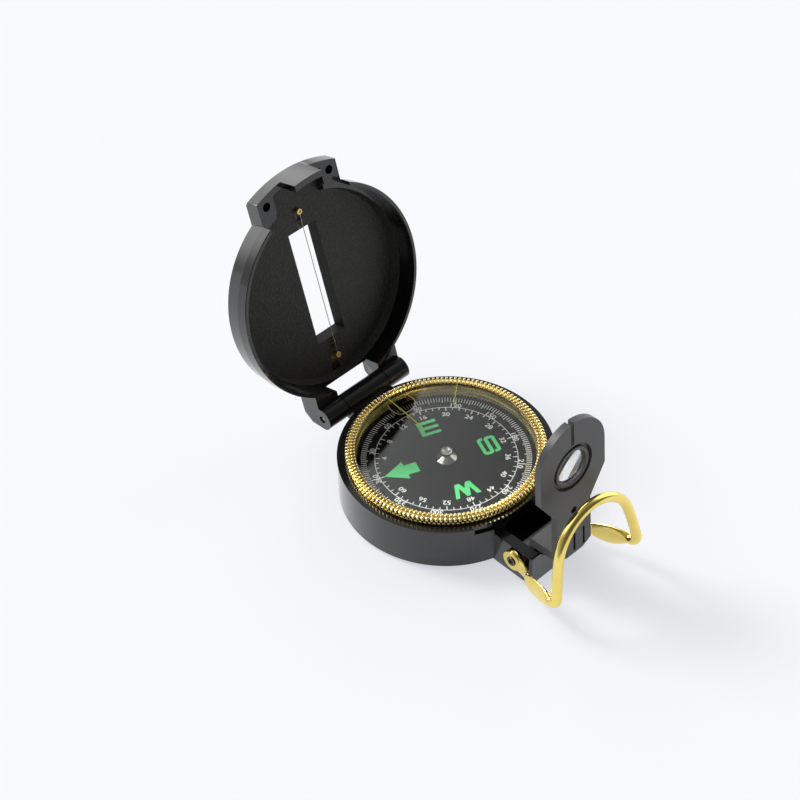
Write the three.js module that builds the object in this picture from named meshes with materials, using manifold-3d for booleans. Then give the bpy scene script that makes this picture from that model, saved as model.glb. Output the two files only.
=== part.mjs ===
// Lensatic compass with its cover open and its eyepiece standing up.
// Millimetres, +Z up. The origin is the middle of the case's flat bottom. +Y runs from the eyepiece to the
// cover's hinge, which is the way a user sights, and +X runs along the hinge.
import * as THREE from 'three';
import { mergeVertices } from 'three/addons/utils/BufferGeometryUtils.js';
import Module from 'manifold-3d';

const wasm = await Module();
wasm.setup();

// Case
const caseRadius = 28.5;
const caseHeight = 13.4;
const caseFloor = 2.6;
const caseChamfer = 0.9;
const frontHalfWidth = 14.4;
const frontStep = 0.3;
const frontShelfHeight = 11.3;
const frontShelfDepth = 1.0;

// Liquid capsule in the case
const capsuleRadius = 25.0;
const capsuleFit = 0.2;
const capsuleFloor = 1.0;
const capsuleRimHeight = 12.9;
const capsuleRimWall = 0.7;
const ringSeatHeight = 10.9;
const ringSeatWidth = 0.9;
const gasketThickness = 0.6;
const crystalThickness = 0.7;
const plugRadius = 1.0;
const plugOffset = 15;

// Dial and its pivot
const dialRadius = 22.6;
const dialHeight = 10.7;
const dialThickness = 0.5;
const hubFlangeRadius = 2.75;
const hubTopRadius = 1.6;
const hubHeight = 2.6;
const jewelRadius = 0.75;
const needleRadius = 0.3;
const needleGap = 0.15;
const pivotBaseRadius = 2.5;
const magnetLength = 30;
const magnetWidth = 5;
const magnetThickness = 1.2;

// Turning bezel
const bezelTop = 15.7;
const bezelRadius = 26.3;
const toothDepth = 0.6;
const toothCount = 120;
const toothBandHeight = 1.5;
const bezelGap = 0.35;
const skirtWall = 0.7;
const skirtDepth = 1.5;
const lipWidth = 0.65;
const lipThickness = 0.55;
const bezelCrystalThickness = 0.6;
const snapRingThickness = 0.5;
const snapRingWidth = 0.8;
const snapRingOpening = 8;

// Cover, with sizes in its closed place
const coverOpening = 105.95;
const coverRadius = 29.0;
const coverGap = 0.3;
const coverRimWall = 1.0;
const coverLedgeHeight = 17.9;
const coverLedgeWidth = 1.5;
const coverFloorRadius = 25.7;
const coverFloorHeight = 20.3;
const coverTopThickness = 4.2;
const coverShoulderHeight = 21.5;
const coverPlateauRadius = 22;
const sightHalfWidth = 4.7;
const sightFront = -17.4;
const sightRear = 15.8;

// Cover hinge
const hingeRadius = 3.1;
const hingeHeight = 13.24;
const hingeStandoff = 0.2;
const hingeHalfLength = 14.5;
const knuckleHalfLength = 7.1;
const knuckleGap = 0.3;
const hingeWindowY = 26.8;
const hingeArmTop = 20.4;
const hingePinRadius = 0.9;
const pinClearance = 0.15;

// Hood at the front of the cover
const hoodRadius = 34.5;
const hoodWall = 1.7;
const hoodHalfWidth = 13.4;
const hoodBottom = 17.2;
const hoodTop = 22.0;
const channelHalfWidth = 8.1;
const tongueHalfWidth = 4.9;
const tongueBottom = 11.5;
const hoodHoleRadius = 1.2;
const hoodHoleX = 10.66;
const hoodHoleY = -29.9;
const hoodHoleDepth = 2.0;

// Sighting wire and what holds it
const wireRadius = 0.12;
const wirePinFront = -22.5;
const wirePinRear = 21.5;
const wirePinRadius = 0.85;
const wirePinShank = 0.5;
const wirePinDepth = 2.0;
const wireLift = 0.65;
const studFront = -19.7;
const studRear = 17.75;
const studRadius = 1.05;
const studHeight = 0.4;

// Bracket at the front of the case
const bracketHalfWidth = 9.3;
const bracketWall = 3.1;
const bracketHeight = 9.5;
const bracketFront = -39.3;
const bracketFrontWall = 1.0;
const bracketFrontHeight = 7.6;
const pitFloor = 1.5;
const pitRear = -27.3;

// Axle that carries the eyepiece and the thumb loop
const axleY = -34.1;
const axleZ = 6.4;
const axleRadius = 0.9;
const axleHeadRadius = 1.35;
const axleHeadThickness = 0.35;

// Eyepiece, with heights along its plate from the axle
const eyepieceLean = 3.2;
const plateThickness = 2.0;
const foldedGap = 0.3;
const headRadius = 11.3;
const headCentre = 35.2;
const headSideEnd = 26.6;
const neckHeight = 18.6;
const stemHalfWidth = 6.0;
const stemBottom = 3.0;
const stemCornerHeight = 1.5;
const stemCornerWidth = 2.9;
const notchWidth = 1.1;
const notchBottom = 39.6;
const lensHeight = 32.4;
const lensBore = 5.0;
const lensLip = 0.7;
const lensRecess = 5.9;
const lensRecessDepth = 0.6;
const lensThickness = 0.7;
const lensFit = 0.1;
const retainerThickness = 0.4;
const stemHoleRadius = 1.0;
const stemHoleHeight = 18.0;
const grooveSpacing = 3.4;
const grooveWidth = 0.7;
const grooveDepth = 0.8;
const grooveBottom = 4.0;
const grooveTop = 10.0;
const footTop = 6.1;
const footRear = -1.8;
const footBarrelRadius = 2.2;
const footClearance = 0.25;

// Thumb loop
const loopWireRadius = 1.35;
const earGap = 0.3;
const earThickness = 1.3;
const earRadius = 2.85;
const loopReach = 19.0;
const loopRise = 1.6;
const loopHalfWidth = 14.6;
const loopArchHalfWidth = 13.0;
const loopArchHeight = 23.3;
const loopLean = 9;
const loopCornerRadius = 2.4;
const bladeThickness = 1.3;
const bladeSwell = 1.4;
const bladeSag = 0.5;

// Roundness of turned shapes
const fineSides = 84;
const roundSides = 48;
const smallSides = 20;

const degrees = Math.PI / 180;
const hingeY = caseRadius + hingeRadius + hingeStandoff;
const coverRimHeight = caseHeight + coverGap;
const boreRadius = hingePinRadius + pinClearance;
const axleBore = axleRadius + pinClearance;

// Helpers

function closedMesh(geometry) {
  const bare = geometry.clone();
  bare.deleteAttribute('normal');
  bare.deleteAttribute('uv');
  const merged = mergeVertices(bare, 1e-5);
  const position = merged.attributes.position;
  const index = merged.index.array;
  const triangles = [];
  for (let i = 0; i < index.length; i += 3) {
    const [a, b, c] = [index[i], index[i + 1], index[i + 2]];
    if (a !== b && b !== c && c !== a) triangles.push(a, b, c);
  }
  return { points: Float32Array.from(position.array), triangles };
}

function signedVolume(points, triangles) {
  const corner = (i) => new THREE.Vector3().fromArray(points, i * 3);
  let sum = 0;
  for (let i = 0; i < triangles.length; i += 3) {
    const [a, b, c] = [corner(triangles[i]), corner(triangles[i + 1]), corner(triangles[i + 2])];
    sum += a.dot(b.cross(c)) / 6;
  }
  return sum;
}

function solid(geometry) {
  const { points, triangles } = closedMesh(geometry);
  if (signedVolume(points, triangles) < 0) triangles.reverse();
  const mesh = new wasm.Mesh({
    numProp: 3,
    vertProperties: points,
    triVerts: Uint32Array.from(triangles),
  });
  return new wasm.Manifold(mesh);
}

function geometryOf(body) {
  const mesh = body.getMesh();
  const geometry = new THREE.BufferGeometry();
  geometry.setAttribute('position', new THREE.BufferAttribute(mesh.vertProperties, 3));
  geometry.setIndex(new THREE.BufferAttribute(mesh.triVerts, 1));
  geometry.computeVertexNormals();
  return geometry;
}

// Turns a profile of [radius, height] pairs about the vertical axis.
function turned(profile, sides = roundSides) {
  const points = profile.map(([r, z]) => new THREE.Vector2(r, z));
  const [first, last] = [points[0], points[points.length - 1]];
  const touchesAxis = first.x === 0 && last.x === 0;
  if (!touchesAxis) points.push(first.clone());
  return solid(new THREE.LatheGeometry(points, sides).rotateX(Math.PI / 2));
}

function disc(radius, low, high, sides = roundSides) {
  return turned([[0, low], [radius, low], [radius, high], [0, high]], sides);
}

function ring(inner, outer, low, high, sides = roundSides) {
  return turned([[inner, low], [outer, low], [outer, high], [inner, high]], sides);
}

function block([x0, x1], [y0, y1], [z0, z1]) {
  const geometry = new THREE.BoxGeometry(x1 - x0, y1 - y0, z1 - z0);
  return solid(geometry.translate((x0 + x1) / 2, (y0 + y1) / 2, (z0 + z1) / 2));
}

// A cylinder along X through the point (y, z).
function rodX(radius, x0, x1, y, z, sides = smallSides) {
  const geometry = new THREE.CylinderGeometry(radius, radius, x1 - x0, sides);
  return solid(geometry.rotateZ(Math.PI / 2).translate((x0 + x1) / 2, y, z));
}

// A cylinder along Y through the point (x, z).
function rodY(radius, y0, y1, x, z, sides = smallSides) {
  const geometry = new THREE.CylinderGeometry(radius, radius, y1 - y0, sides);
  return solid(geometry.translate(x, (y0 + y1) / 2, z));
}

// A cylinder along Z through the point (x, y).
function rodZ(radius, z0, z1, x, y, sides = smallSides) {
  const geometry = new THREE.CylinderGeometry(radius, radius, z1 - z0, sides);
  return solid(geometry.rotateX(Math.PI / 2).translate(x, y, (z0 + z1) / 2));
}

function extruded(shape, depth, matrix) {
  const geometry = new THREE.ExtrudeGeometry(shape, { depth, bevelEnabled: false, curveSegments: 16 });
  return solid(geometry.applyMatrix4(matrix));
}

// A prism along X of an outline of [y, z] pairs.
function prismX(outline, x0, x1) {
  const shape = new THREE.Shape(outline.map(([y, z]) => new THREE.Vector2(y, z)));
  const matrix = new THREE.Matrix4().makeBasis(
    new THREE.Vector3(0, 1, 0),
    new THREE.Vector3(0, 0, 1),
    new THREE.Vector3(1, 0, 0),
  );
  return extruded(shape, x1 - x0, matrix.setPosition(x0, 0, 0));
}

// A prism along Y of a shape drawn in x and z.
function prismY(shape, y0, y1) {
  const matrix = new THREE.Matrix4().makeBasis(
    new THREE.Vector3(1, 0, 0),
    new THREE.Vector3(0, 0, 1),
    new THREE.Vector3(0, -1, 0),
  );
  return extruded(shape, y1 - y0, matrix.setPosition(0, y1, 0));
}

function prismZ(shape, z0, z1) {
  return extruded(shape, z1 - z0, new THREE.Matrix4().setPosition(0, 0, z0));
}

function joined(...bodies) {
  return bodies.reduce((whole, body) => whole.add(body));
}

function cut(body, ...tools) {
  return tools.reduce((rest, tool) => rest.subtract(tool), body);
}

// Skins a row of rings of equal point counts and closes both ends.
function lofted(rings) {
  const count = rings[0].length;
  const points = rings.flat();
  const triangles = [];
  const quad = (a, b, c, d) => triangles.push(a, b, c, a, c, d);
  for (let i = 0; i + 1 < rings.length; i += 1) {
    for (let k = 0; k < count; k += 1) {
      const next = (k + 1) % count;
      quad(i * count + k, i * count + next, (i + 1) * count + next, (i + 1) * count + k);
    }
  }
  const lastRing = (rings.length - 1) * count;
  for (let k = 1; k + 1 < count; k += 1) {
    triangles.push(0, k + 1, k);
    triangles.push(lastRing, lastRing + k, lastRing + k + 1);
  }
  const geometry = new THREE.BufferGeometry().setFromPoints(points);
  geometry.setIndex(triangles);
  return solid(geometry);
}

// Case, capsule and dial

const upperBore = bezelRadius - 0.05;
const lowerBore = capsuleRadius + capsuleFit;
const shoulderHeight = capsuleRimHeight - skirtDepth;
const snapRingHeight = (shoulderHeight + caseHeight) / 2;
const snapRingOuter = upperBore + snapRingWidth / 3;
const bracketInner = bracketHalfWidth - bracketWall;

function caseShell() {
  const outer = turned([
    [0, 0],
    [caseRadius - caseChamfer, 0],
    [caseRadius, caseChamfer],
    [caseRadius, caseHeight],
    [0, caseHeight],
  ], fineSides);
  const beyond = caseRadius + 5;
  const front = block([-frontHalfWidth, frontHalfWidth], [-beyond, 0], [-1, caseHeight + 1]);
  const step = ring(caseRadius - frontStep, beyond, -1, caseHeight + 1, fineSides).intersect(front);
  const shelf = ring(caseRadius - frontShelfDepth, beyond, frontShelfHeight, caseHeight + 1, fineSides).intersect(front);
  return cut(outer, step, shelf);
}

function bracketBlock() {
  const slope = bracketHeight - bracketFrontHeight;
  const outer = block([-bracketHalfWidth, bracketHalfWidth], [bracketFront, 0], [0, bracketHeight]);
  const mouth = new THREE.Shape([
    new THREE.Vector2(-bracketInner, bracketHeight + 1),
    new THREE.Vector2(-bracketInner, bracketHeight),
    new THREE.Vector2(slope - bracketInner, bracketFrontHeight),
    new THREE.Vector2(bracketInner - slope, bracketFrontHeight),
    new THREE.Vector2(bracketInner, bracketHeight),
    new THREE.Vector2(bracketInner, bracketHeight + 1),
  ]);
  return cut(outer, prismY(mouth, bracketFront - 1, bracketFront + bracketFrontWall + 1));
}

function hingeKnuckle() {
  const barrel = rodX(hingeRadius, -knuckleHalfLength, knuckleHalfLength, hingeY, hingeHeight, 36);
  const root = block(
    [-knuckleHalfLength, knuckleHalfLength],
    [caseRadius - 3, hingeY],
    [hingeHeight - hingeRadius, caseHeight],
  );
  return joined(barrel, root);
}

function caseBody() {
  const cavity = turned([
    [0, caseFloor],
    [lowerBore, caseFloor],
    [lowerBore, shoulderHeight],
    [upperBore, shoulderHeight],
    [upperBore, snapRingHeight - snapRingThickness / 2 - 0.1],
    [snapRingOuter + 0.1, snapRingHeight - snapRingThickness / 2 - 0.1],
    [snapRingOuter + 0.1, snapRingHeight + snapRingThickness / 2 + 0.1],
    [upperBore, snapRingHeight + snapRingThickness / 2 + 0.1],
    [upperBore, hingeHeight + 2 * hingeRadius],
    [0, hingeHeight + 2 * hingeRadius],
  ], fineSides);
  const pit = block(
    [-bracketInner, bracketInner],
    [bracketFront + bracketFrontWall, pitRear],
    [pitFloor, caseHeight + 1],
  );
  const hingeBore = rodX(boreRadius, -hingeHalfLength, hingeHalfLength, hingeY, hingeHeight);
  const axleHole = rodX(axleBore, -bracketHalfWidth - 1, bracketHalfWidth + 1, axleY, axleZ);
  const whole = joined(caseShell(), bracketBlock(), hingeKnuckle());
  return cut(whole, cavity, pit, hingeBore, axleHole);
}

const cupFloorTop = caseFloor + capsuleFloor;
const ringSeatOuter = capsuleRadius - capsuleRimWall;
const cupInner = ringSeatOuter - ringSeatWidth;
const crystalBottom = capsuleRimHeight + gasketThickness;
const crystalTop = crystalBottom + crystalThickness;

function capsuleCup() {
  const cup = turned([
    [0, caseFloor],
    [capsuleRadius, caseFloor],
    [capsuleRadius, capsuleRimHeight],
    [ringSeatOuter, capsuleRimHeight],
    [ringSeatOuter, ringSeatHeight],
    [cupInner, ringSeatHeight],
    [cupInner, cupFloorTop],
    [0, cupFloorTop],
  ], fineSides);
  return cut(cup, rodZ(plugRadius + 0.1, caseFloor - 1, cupFloorTop + 1, plugOffset, 0));
}

function fillPlug() {
  const shank = rodZ(plugRadius, caseFloor, cupFloorTop, plugOffset, 0);
  return joined(shank, rodZ(plugRadius + 0.5, cupFloorTop, cupFloorTop + 0.6, plugOffset, 0));
}

function capsuleRing() {
  return turned([
    [cupInner, ringSeatHeight],
    [ringSeatOuter - 0.1, ringSeatHeight],
    [ringSeatOuter - 0.1, crystalBottom],
    [ringSeatOuter - 0.4, crystalBottom],
  ], fineSides);
}

function capsuleGasket() {
  return ring(ringSeatOuter + 0.1, capsuleRadius - 0.1, capsuleRimHeight, crystalBottom, fineSides);
}

function capsuleCrystal() {
  return disc(capsuleRadius - 0.1, crystalBottom, crystalTop, fineSides);
}

const jewelTop = dialHeight + 1.45;
const jewelHeight = 0.5;
const needleTip = jewelTop - 0.2 - needleGap;
const hubSpigotRadius = jewelRadius + 0.55;

function pivotBase() {
  const bore = needleRadius + 0.1;
  return turned([
    [0, cupFloorTop],
    [pivotBaseRadius, cupFloorTop],
    [pivotBaseRadius, cupFloorTop + 0.6],
    [pivotBaseRadius / 2.5, cupFloorTop + 1.6],
    [pivotBaseRadius / 2.5, cupFloorTop + 2.4],
    [bore, cupFloorTop + 2.4],
    [bore, cupFloorTop + 0.6],
    [0, cupFloorTop + 0.6],
  ], smallSides);
}

function pivotNeedle() {
  return turned([
    [0, cupFloorTop + 0.7],
    [needleRadius, cupFloorTop + 0.7],
    [needleRadius, needleTip - 0.8],
    [0, needleTip],
  ], 16);
}

function dialCard() {
  return ring(hubSpigotRadius + 0.1, dialRadius, dialHeight - dialThickness, dialHeight, fineSides);
}

function dialHub() {
  const top = dialHeight + hubHeight;
  const bottom = dialHeight - dialThickness;
  const bore = jewelRadius + 0.08;
  const neck = bore + 0.32;
  return turned([
    [0, top - 0.2],
    [hubTopRadius / 2, top - 0.2],
    [hubTopRadius * 0.7, top],
    [hubTopRadius - 0.1, top],
    [hubTopRadius, top - 0.15],
    [hubTopRadius, top - 0.55],
    [neck, top - 0.85],
    [neck, dialHeight + 1.2],
    [hubFlangeRadius, dialHeight + 0.2],
    [hubFlangeRadius, dialHeight],
    [hubSpigotRadius, dialHeight],
    [hubSpigotRadius, bottom],
    [bore, bottom],
    [bore, jewelTop],
    [0, jewelTop],
  ], 36);
}

function pivotJewel() {
  return turned([
    [0, jewelTop],
    [jewelRadius, jewelTop],
    [jewelRadius, jewelTop - jewelHeight],
    [jewelRadius / 2, jewelTop - jewelHeight],
    [0, jewelTop - 0.2],
  ], smallSides);
}

function dialMagnet() {
  const high = dialHeight - dialThickness;
  const low = high - magnetThickness;
  const bar = block([-magnetWidth / 2, magnetWidth / 2], [-magnetLength / 2, magnetLength / 2], [low, high]);
  return cut(bar, rodZ(hubSpigotRadius + 0.2, low - 1, high + 1, 0, 0));
}

// Bezel

const toothRoot = bezelRadius - toothDepth;
const bandBottom = caseHeight + bezelGap;
const bandTop = bandBottom + toothBandHeight;
const skirtInner = capsuleRadius + 0.25;
const skirtOuter = skirtInner + skirtWall;
const skirtBottom = shoulderHeight + 0.4;
const lipBottom = bezelTop - lipThickness;
const bezelCrystalRadius = capsuleRadius - 0.25;

function knurledBand() {
  const outline = [];
  for (let i = 0; i < toothCount; i += 1) {
    for (const [turn, radius] of [[-0.28, toothRoot], [-0.1, bezelRadius], [0.22, bezelRadius], [0.4, toothRoot]]) {
      const angle = ((i + turn) / toothCount) * 2 * Math.PI;
      outline.push(new THREE.Vector2(radius * Math.cos(angle), radius * Math.sin(angle)));
    }
  }
  const shape = new THREE.Shape(outline);
  shape.holes.push(new THREE.Path().absarc(0, 0, skirtInner + skirtWall / 2, 0, 2 * Math.PI, true));
  return prismZ(shape, bandBottom, bandTop);
}

function bezelRing() {
  const grooveLow = snapRingHeight - snapRingThickness / 2 - 0.2;
  const grooveHigh = snapRingHeight + snapRingThickness / 2 + 0.2;
  const grooveRadius = skirtOuter - skirtWall / 2;
  const seat = bezelCrystalRadius + 0.1;
  const body = turned([
    [skirtInner, skirtBottom],
    [skirtOuter, skirtBottom],
    [skirtOuter, grooveLow],
    [grooveRadius, grooveLow],
    [grooveRadius, grooveHigh],
    [skirtOuter, grooveHigh],
    [skirtOuter, bandBottom],
    [toothRoot, bandBottom],
    [toothRoot, bandTop],
    [toothRoot - 0.5, bezelTop],
    [seat - lipWidth + 0.25, bezelTop],
    [seat - lipWidth, bezelTop - 0.25],
    [seat - lipWidth, lipBottom],
    [seat, lipBottom],
    [seat, lipBottom - bezelCrystalThickness - 0.1],
    [skirtInner, lipBottom - bezelCrystalThickness - 0.3],
  ], fineSides);
  return joined(body, knurledBand());
}

function bezelCrystal() {
  return disc(bezelCrystalRadius, lipBottom - bezelCrystalThickness, lipBottom, fineSides);
}

function bezelSnapRing() {
  const low = snapRingHeight - snapRingThickness / 2;
  const high = snapRingHeight + snapRingThickness / 2;
  const whole = ring(snapRingOuter - snapRingWidth, snapRingOuter, low, high, fineSides);
  const gap = 2 * snapRingOuter * Math.sin((snapRingOpening / 2) * degrees);
  return cut(whole, block([0, 2 * snapRingOuter], [-gap / 2, gap / 2], [low - 1, high + 1]));
}

// Cover, modelled in its closed place

const coverTop = coverFloorHeight + coverTopThickness;
const coverInner = coverRadius - coverRimWall;
const ledgeInner = coverInner - coverLedgeWidth;

function coverOutside() {
  return turned([
    [0, coverRimHeight],
    [coverRadius, coverRimHeight],
    [coverRadius, coverRimHeight + 3.3],
    [coverRadius - 0.25, coverRimHeight + 3.5],
    [coverRadius - 0.5, coverShoulderHeight],
    [coverRadius - 2.4, coverShoulderHeight + 1.1],
    [coverPlateauRadius, coverTop],
    [0, coverTop],
  ], fineSides);
}

function coverInside() {
  return turned([
    [0, coverRimHeight - 10],
    [coverInner, coverRimHeight - 10],
    [coverInner, coverLedgeHeight],
    [ledgeInner, coverLedgeHeight],
    [coverFloorRadius, coverFloorHeight],
    [0, coverFloorHeight],
  ], fineSides);
}

function hoodBlock() {
  const band = disc(hoodRadius, hoodBottom, hoodTop, fineSides);
  const front = block([-hoodHalfWidth, hoodHalfWidth], [-hoodRadius - 1, -coverFloorRadius / 2], [0, coverTop]);
  const bevel = turned([
    [hoodRadius - 1, hoodTop],
    [hoodRadius + 1, hoodTop - 2],
    [hoodRadius + 1, hoodTop + 1],
    [hoodRadius - 1, hoodTop + 1],
  ], fineSides);
  return cut(band.intersect(front), bevel);
}

function hoodTongue() {
  const wall = ring(hoodRadius - hoodWall, hoodRadius, tongueBottom, coverFloorHeight + 0.5, fineSides);
  const taper = 0.35;
  const sides = new THREE.Shape([
    new THREE.Vector2(-tongueHalfWidth + taper, tongueBottom - 1),
    new THREE.Vector2(tongueHalfWidth - taper, tongueBottom - 1),
    new THREE.Vector2(tongueHalfWidth, coverFloorHeight + 1),
    new THREE.Vector2(-tongueHalfWidth, coverFloorHeight + 1),
  ]);
  return wall.intersect(prismY(sides, -hoodRadius - 1, 0));
}

function hingeArm(side) {
  const [x0, x1] = side < 0 ? [-hingeHalfLength, -knuckleHalfLength - knuckleGap] : [knuckleHalfLength + knuckleGap, hingeHalfLength];
  const outline = [
    [coverFloorRadius - 3, coverRimHeight],
    [hingeY - hingeRadius / 2, coverRimHeight],
    [hingeY + hingeRadius, hingeHeight],
    [hingeY + hingeRadius * 0.72, hingeHeight + 4.8],
    [hingeY - 0.4, hingeArmTop],
    [coverFloorRadius - 3, hingeArmTop],
  ];
  return joined(prismX(outline, x0, x1), rodX(hingeRadius, x0, x1, hingeY, hingeHeight, 36));
}

function wireStud(y) {
  return turned([
    [0, coverFloorHeight - studHeight],
    [studRadius * 0.6, coverFloorHeight - studHeight * 0.8],
    [studRadius, coverFloorHeight - studHeight * 0.2],
    [studRadius, coverFloorHeight + 0.5],
    [0, coverFloorHeight + 0.5],
  ], 16).translate([0, y, 0]);
}

function coverShell() {
  const outside = joined(coverOutside(), hoodBlock(), hingeArm(-1), hingeArm(1));
  const low = coverRimHeight - 10;
  const underHood = block([-hoodHalfWidth, hoodHalfWidth], [-hoodRadius - 1, -coverFloorRadius / 2], [low, hoodBottom]);
  const channel = block(
    [-channelHalfWidth, channelHalfWidth],
    [-hoodRadius + hoodWall, -coverFloorRadius / 2],
    [low, coverFloorHeight],
  );
  const channelFront = disc(hoodRadius - hoodWall, low, coverFloorHeight, fineSides);
  const sight = block([-sightHalfWidth, sightHalfWidth], [sightFront, sightRear], [coverFloorHeight - 1, coverTop + 1]);
  const gap = knuckleHalfLength + knuckleGap;
  const knuckleRoom = rodX(hingeRadius + 0.25, -gap, gap, hingeY, hingeHeight, 36);
  const hingeWindow = block([-gap, gap], [hingeWindowY, hingeY + hingeRadius], [low, coverFloorHeight + 0.1]);
  const hingeBore = rodX(boreRadius, -hingeHalfLength - 1, hingeHalfLength + 1, hingeY, hingeHeight);
  const holes = [-hoodHoleX, hoodHoleX].map((x) => (
    rodZ(hoodHoleRadius, hoodBottom - 1, hoodBottom + hoodHoleDepth, x, hoodHoleY)
  ));
  const pinHoles = [wirePinFront, wirePinRear].map((y) => (
    rodZ(wirePinShank + 0.1, coverFloorHeight - 1, coverFloorHeight + wirePinDepth + 0.1, 0, y, 16)
  ));
  const shell = cut(
    outside,
    coverInside(),
    underHood,
    channel.intersect(channelFront),
    sight,
    knuckleRoom,
    hingeWindow,
    hingeBore,
    ...holes,
    ...pinHoles,
  );
  return joined(shell, hoodTongue(), wireStud(studFront), wireStud(studRear));
}

function wirePin(y) {
  const head = coverFloorHeight - wireLift - 0.35;
  return turned([
    [0, head + 0.3],
    [wirePinRadius * 0.35, head + 0.3],
    [wirePinRadius * 0.5, head],
    [wirePinRadius * 0.9, head],
    [wirePinRadius, head + 0.15],
    [wirePinRadius, coverFloorHeight],
    [wirePinShank, coverFloorHeight],
    [wirePinShank, coverFloorHeight + wirePinDepth],
    [0, coverFloorHeight + wirePinDepth],
  ], 16).translate([0, y, 0]);
}

function sightingWire() {
  const reach = wirePinRadius + 0.05;
  return rodY(wireRadius, wirePinFront + reach, wirePinRear - reach, 0, coverFloorHeight - wireLift, 8);
}

function coverHingePin() {
  const end = hingeHalfLength - 0.3;
  return rodX(hingePinRadius, -end, end, hingeY, hingeHeight);
}

// Eyepiece, modelled about its axle with its plate upright

const plateBack = bezelTop + foldedGap - axleZ;
const plateFront = plateBack + plateThickness;

function plateOutline() {
  const shape = new THREE.Shape();
  shape.moveTo(stemCornerWidth, stemBottom);
  shape.lineTo(stemHalfWidth, stemBottom + stemCornerHeight);
  shape.lineTo(stemHalfWidth, neckHeight);
  shape.lineTo(headRadius, headSideEnd);
  shape.lineTo(headRadius, headCentre);
  shape.absarc(0, headCentre, headRadius, 0, Math.PI, false);
  shape.lineTo(-headRadius, headSideEnd);
  shape.lineTo(-stemHalfWidth, neckHeight);
  shape.lineTo(-stemHalfWidth, stemBottom + stemCornerHeight);
  shape.lineTo(-stemCornerWidth, stemBottom);
  return shape;
}

// A turned shape about the lens's axis, with depths counted from the plate's front face.
function aboutLens(profile, sides = 48) {
  const points = profile.map(([r, depth]) => new THREE.Vector2(r, depth));
  const [first, last] = [points[0], points[points.length - 1]];
  if (first.x > 0 || last.x > 0) points.push(first.clone());
  return solid(new THREE.LatheGeometry(points, sides).translate(0, -plateFront, lensHeight));
}

function lensOpening() {
  const lip = plateThickness - 0.35;
  return aboutLens([
    [0, -1],
    [lensRecess, -1],
    [lensRecess, 0],
    [lensBore, lensRecessDepth],
    [lensBore, lip],
    [lensBore - lensLip, lip],
    [lensBore - lensLip, plateThickness + 1],
    [0, plateThickness + 1],
  ]);
}

function eyepieceFoot() {
  const half = bracketInner - footClearance;
  const outline = [
    [-plateBack - plateThickness / 2, stemBottom + 0.4],
    [-plateBack - plateThickness / 2, footTop],
    [footRear - 0.6, footTop],
    [footRear, footTop - 0.6],
    [footRear, 0],
    [-footBarrelRadius, 0],
    [-footBarrelRadius, stemBottom - 1],
    [-footBarrelRadius - 1.5, stemBottom + 0.4],
  ];
  return joined(prismX(outline, -half, half), rodX(footBarrelRadius, -half, half, 0, 0, 30));
}

function eyepieceArm() {
  const half = notchWidth / 2;
  const above = headCentre + headRadius + 1;
  const notch = block([-half, half], [-plateFront - 1, 0], [notchBottom, above]);
  const grooves = [-1, 0, 1].map((i) => {
    const x = i * grooveSpacing;
    const cutTop = grooveTop - grooveWidth / 2;
    const slot = block(
      [x - grooveWidth / 2, x + grooveWidth / 2],
      [-plateFront - 1, -plateFront + grooveDepth],
      [grooveBottom, cutTop],
    );
    return joined(slot, rodY(grooveWidth / 2, -plateFront - 1, -plateFront + grooveDepth, x, cutTop, 12));
  });
  const hole = rodY(stemHoleRadius, -plateFront - 1, -plateFront + grooveDepth, 0, stemHoleHeight);
  const bore = rodX(axleBore, -bracketHalfWidth, bracketHalfWidth, 0, 0);
  const whole = joined(prismY(plateOutline(), -plateFront, -plateBack), eyepieceFoot());
  return cut(whole, notch, lensOpening(), hole, bore, ...grooves);
}

const lensBack = plateThickness - 0.35 - lensFit;

function eyepieceLens() {
  const radius = lensBore - lensFit;
  const bulge = 0.15;
  const front = lensBack - lensThickness;
  return aboutLens([
    [0, front - bulge],
    [radius * 0.5, front - bulge * 0.75],
    [radius * 0.84, front],
    [radius, front],
    [radius, lensBack],
    [0, lensBack],
  ]);
}

function lensRetainer() {
  const radius = lensBore - lensFit;
  const back = lensBack - lensThickness - 0.05;
  return aboutLens([
    [radius * 0.86, back],
    [radius, back],
    [radius, back - retainerThickness],
    [radius * 0.9, back - retainerThickness],
  ]);
}

// Axle and thumb loop

const earInner = bracketHalfWidth + earGap;
const earOuter = earInner + earThickness;

function bracketAxle() {
  const shaft = rodX(axleRadius, -earOuter - 0.1, earOuter + 0.1, axleY, axleZ);
  const heads = [-1, 1].map((side) => {
    const [inner, outer] = [earOuter + 0.1, earOuter + 0.1 + axleHeadThickness];
    return rodX(axleHeadRadius, Math.min(side * inner, side * outer), Math.max(side * inner, side * outer), axleY, axleZ);
  });
  return joined(shaft, ...heads);
}

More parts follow.
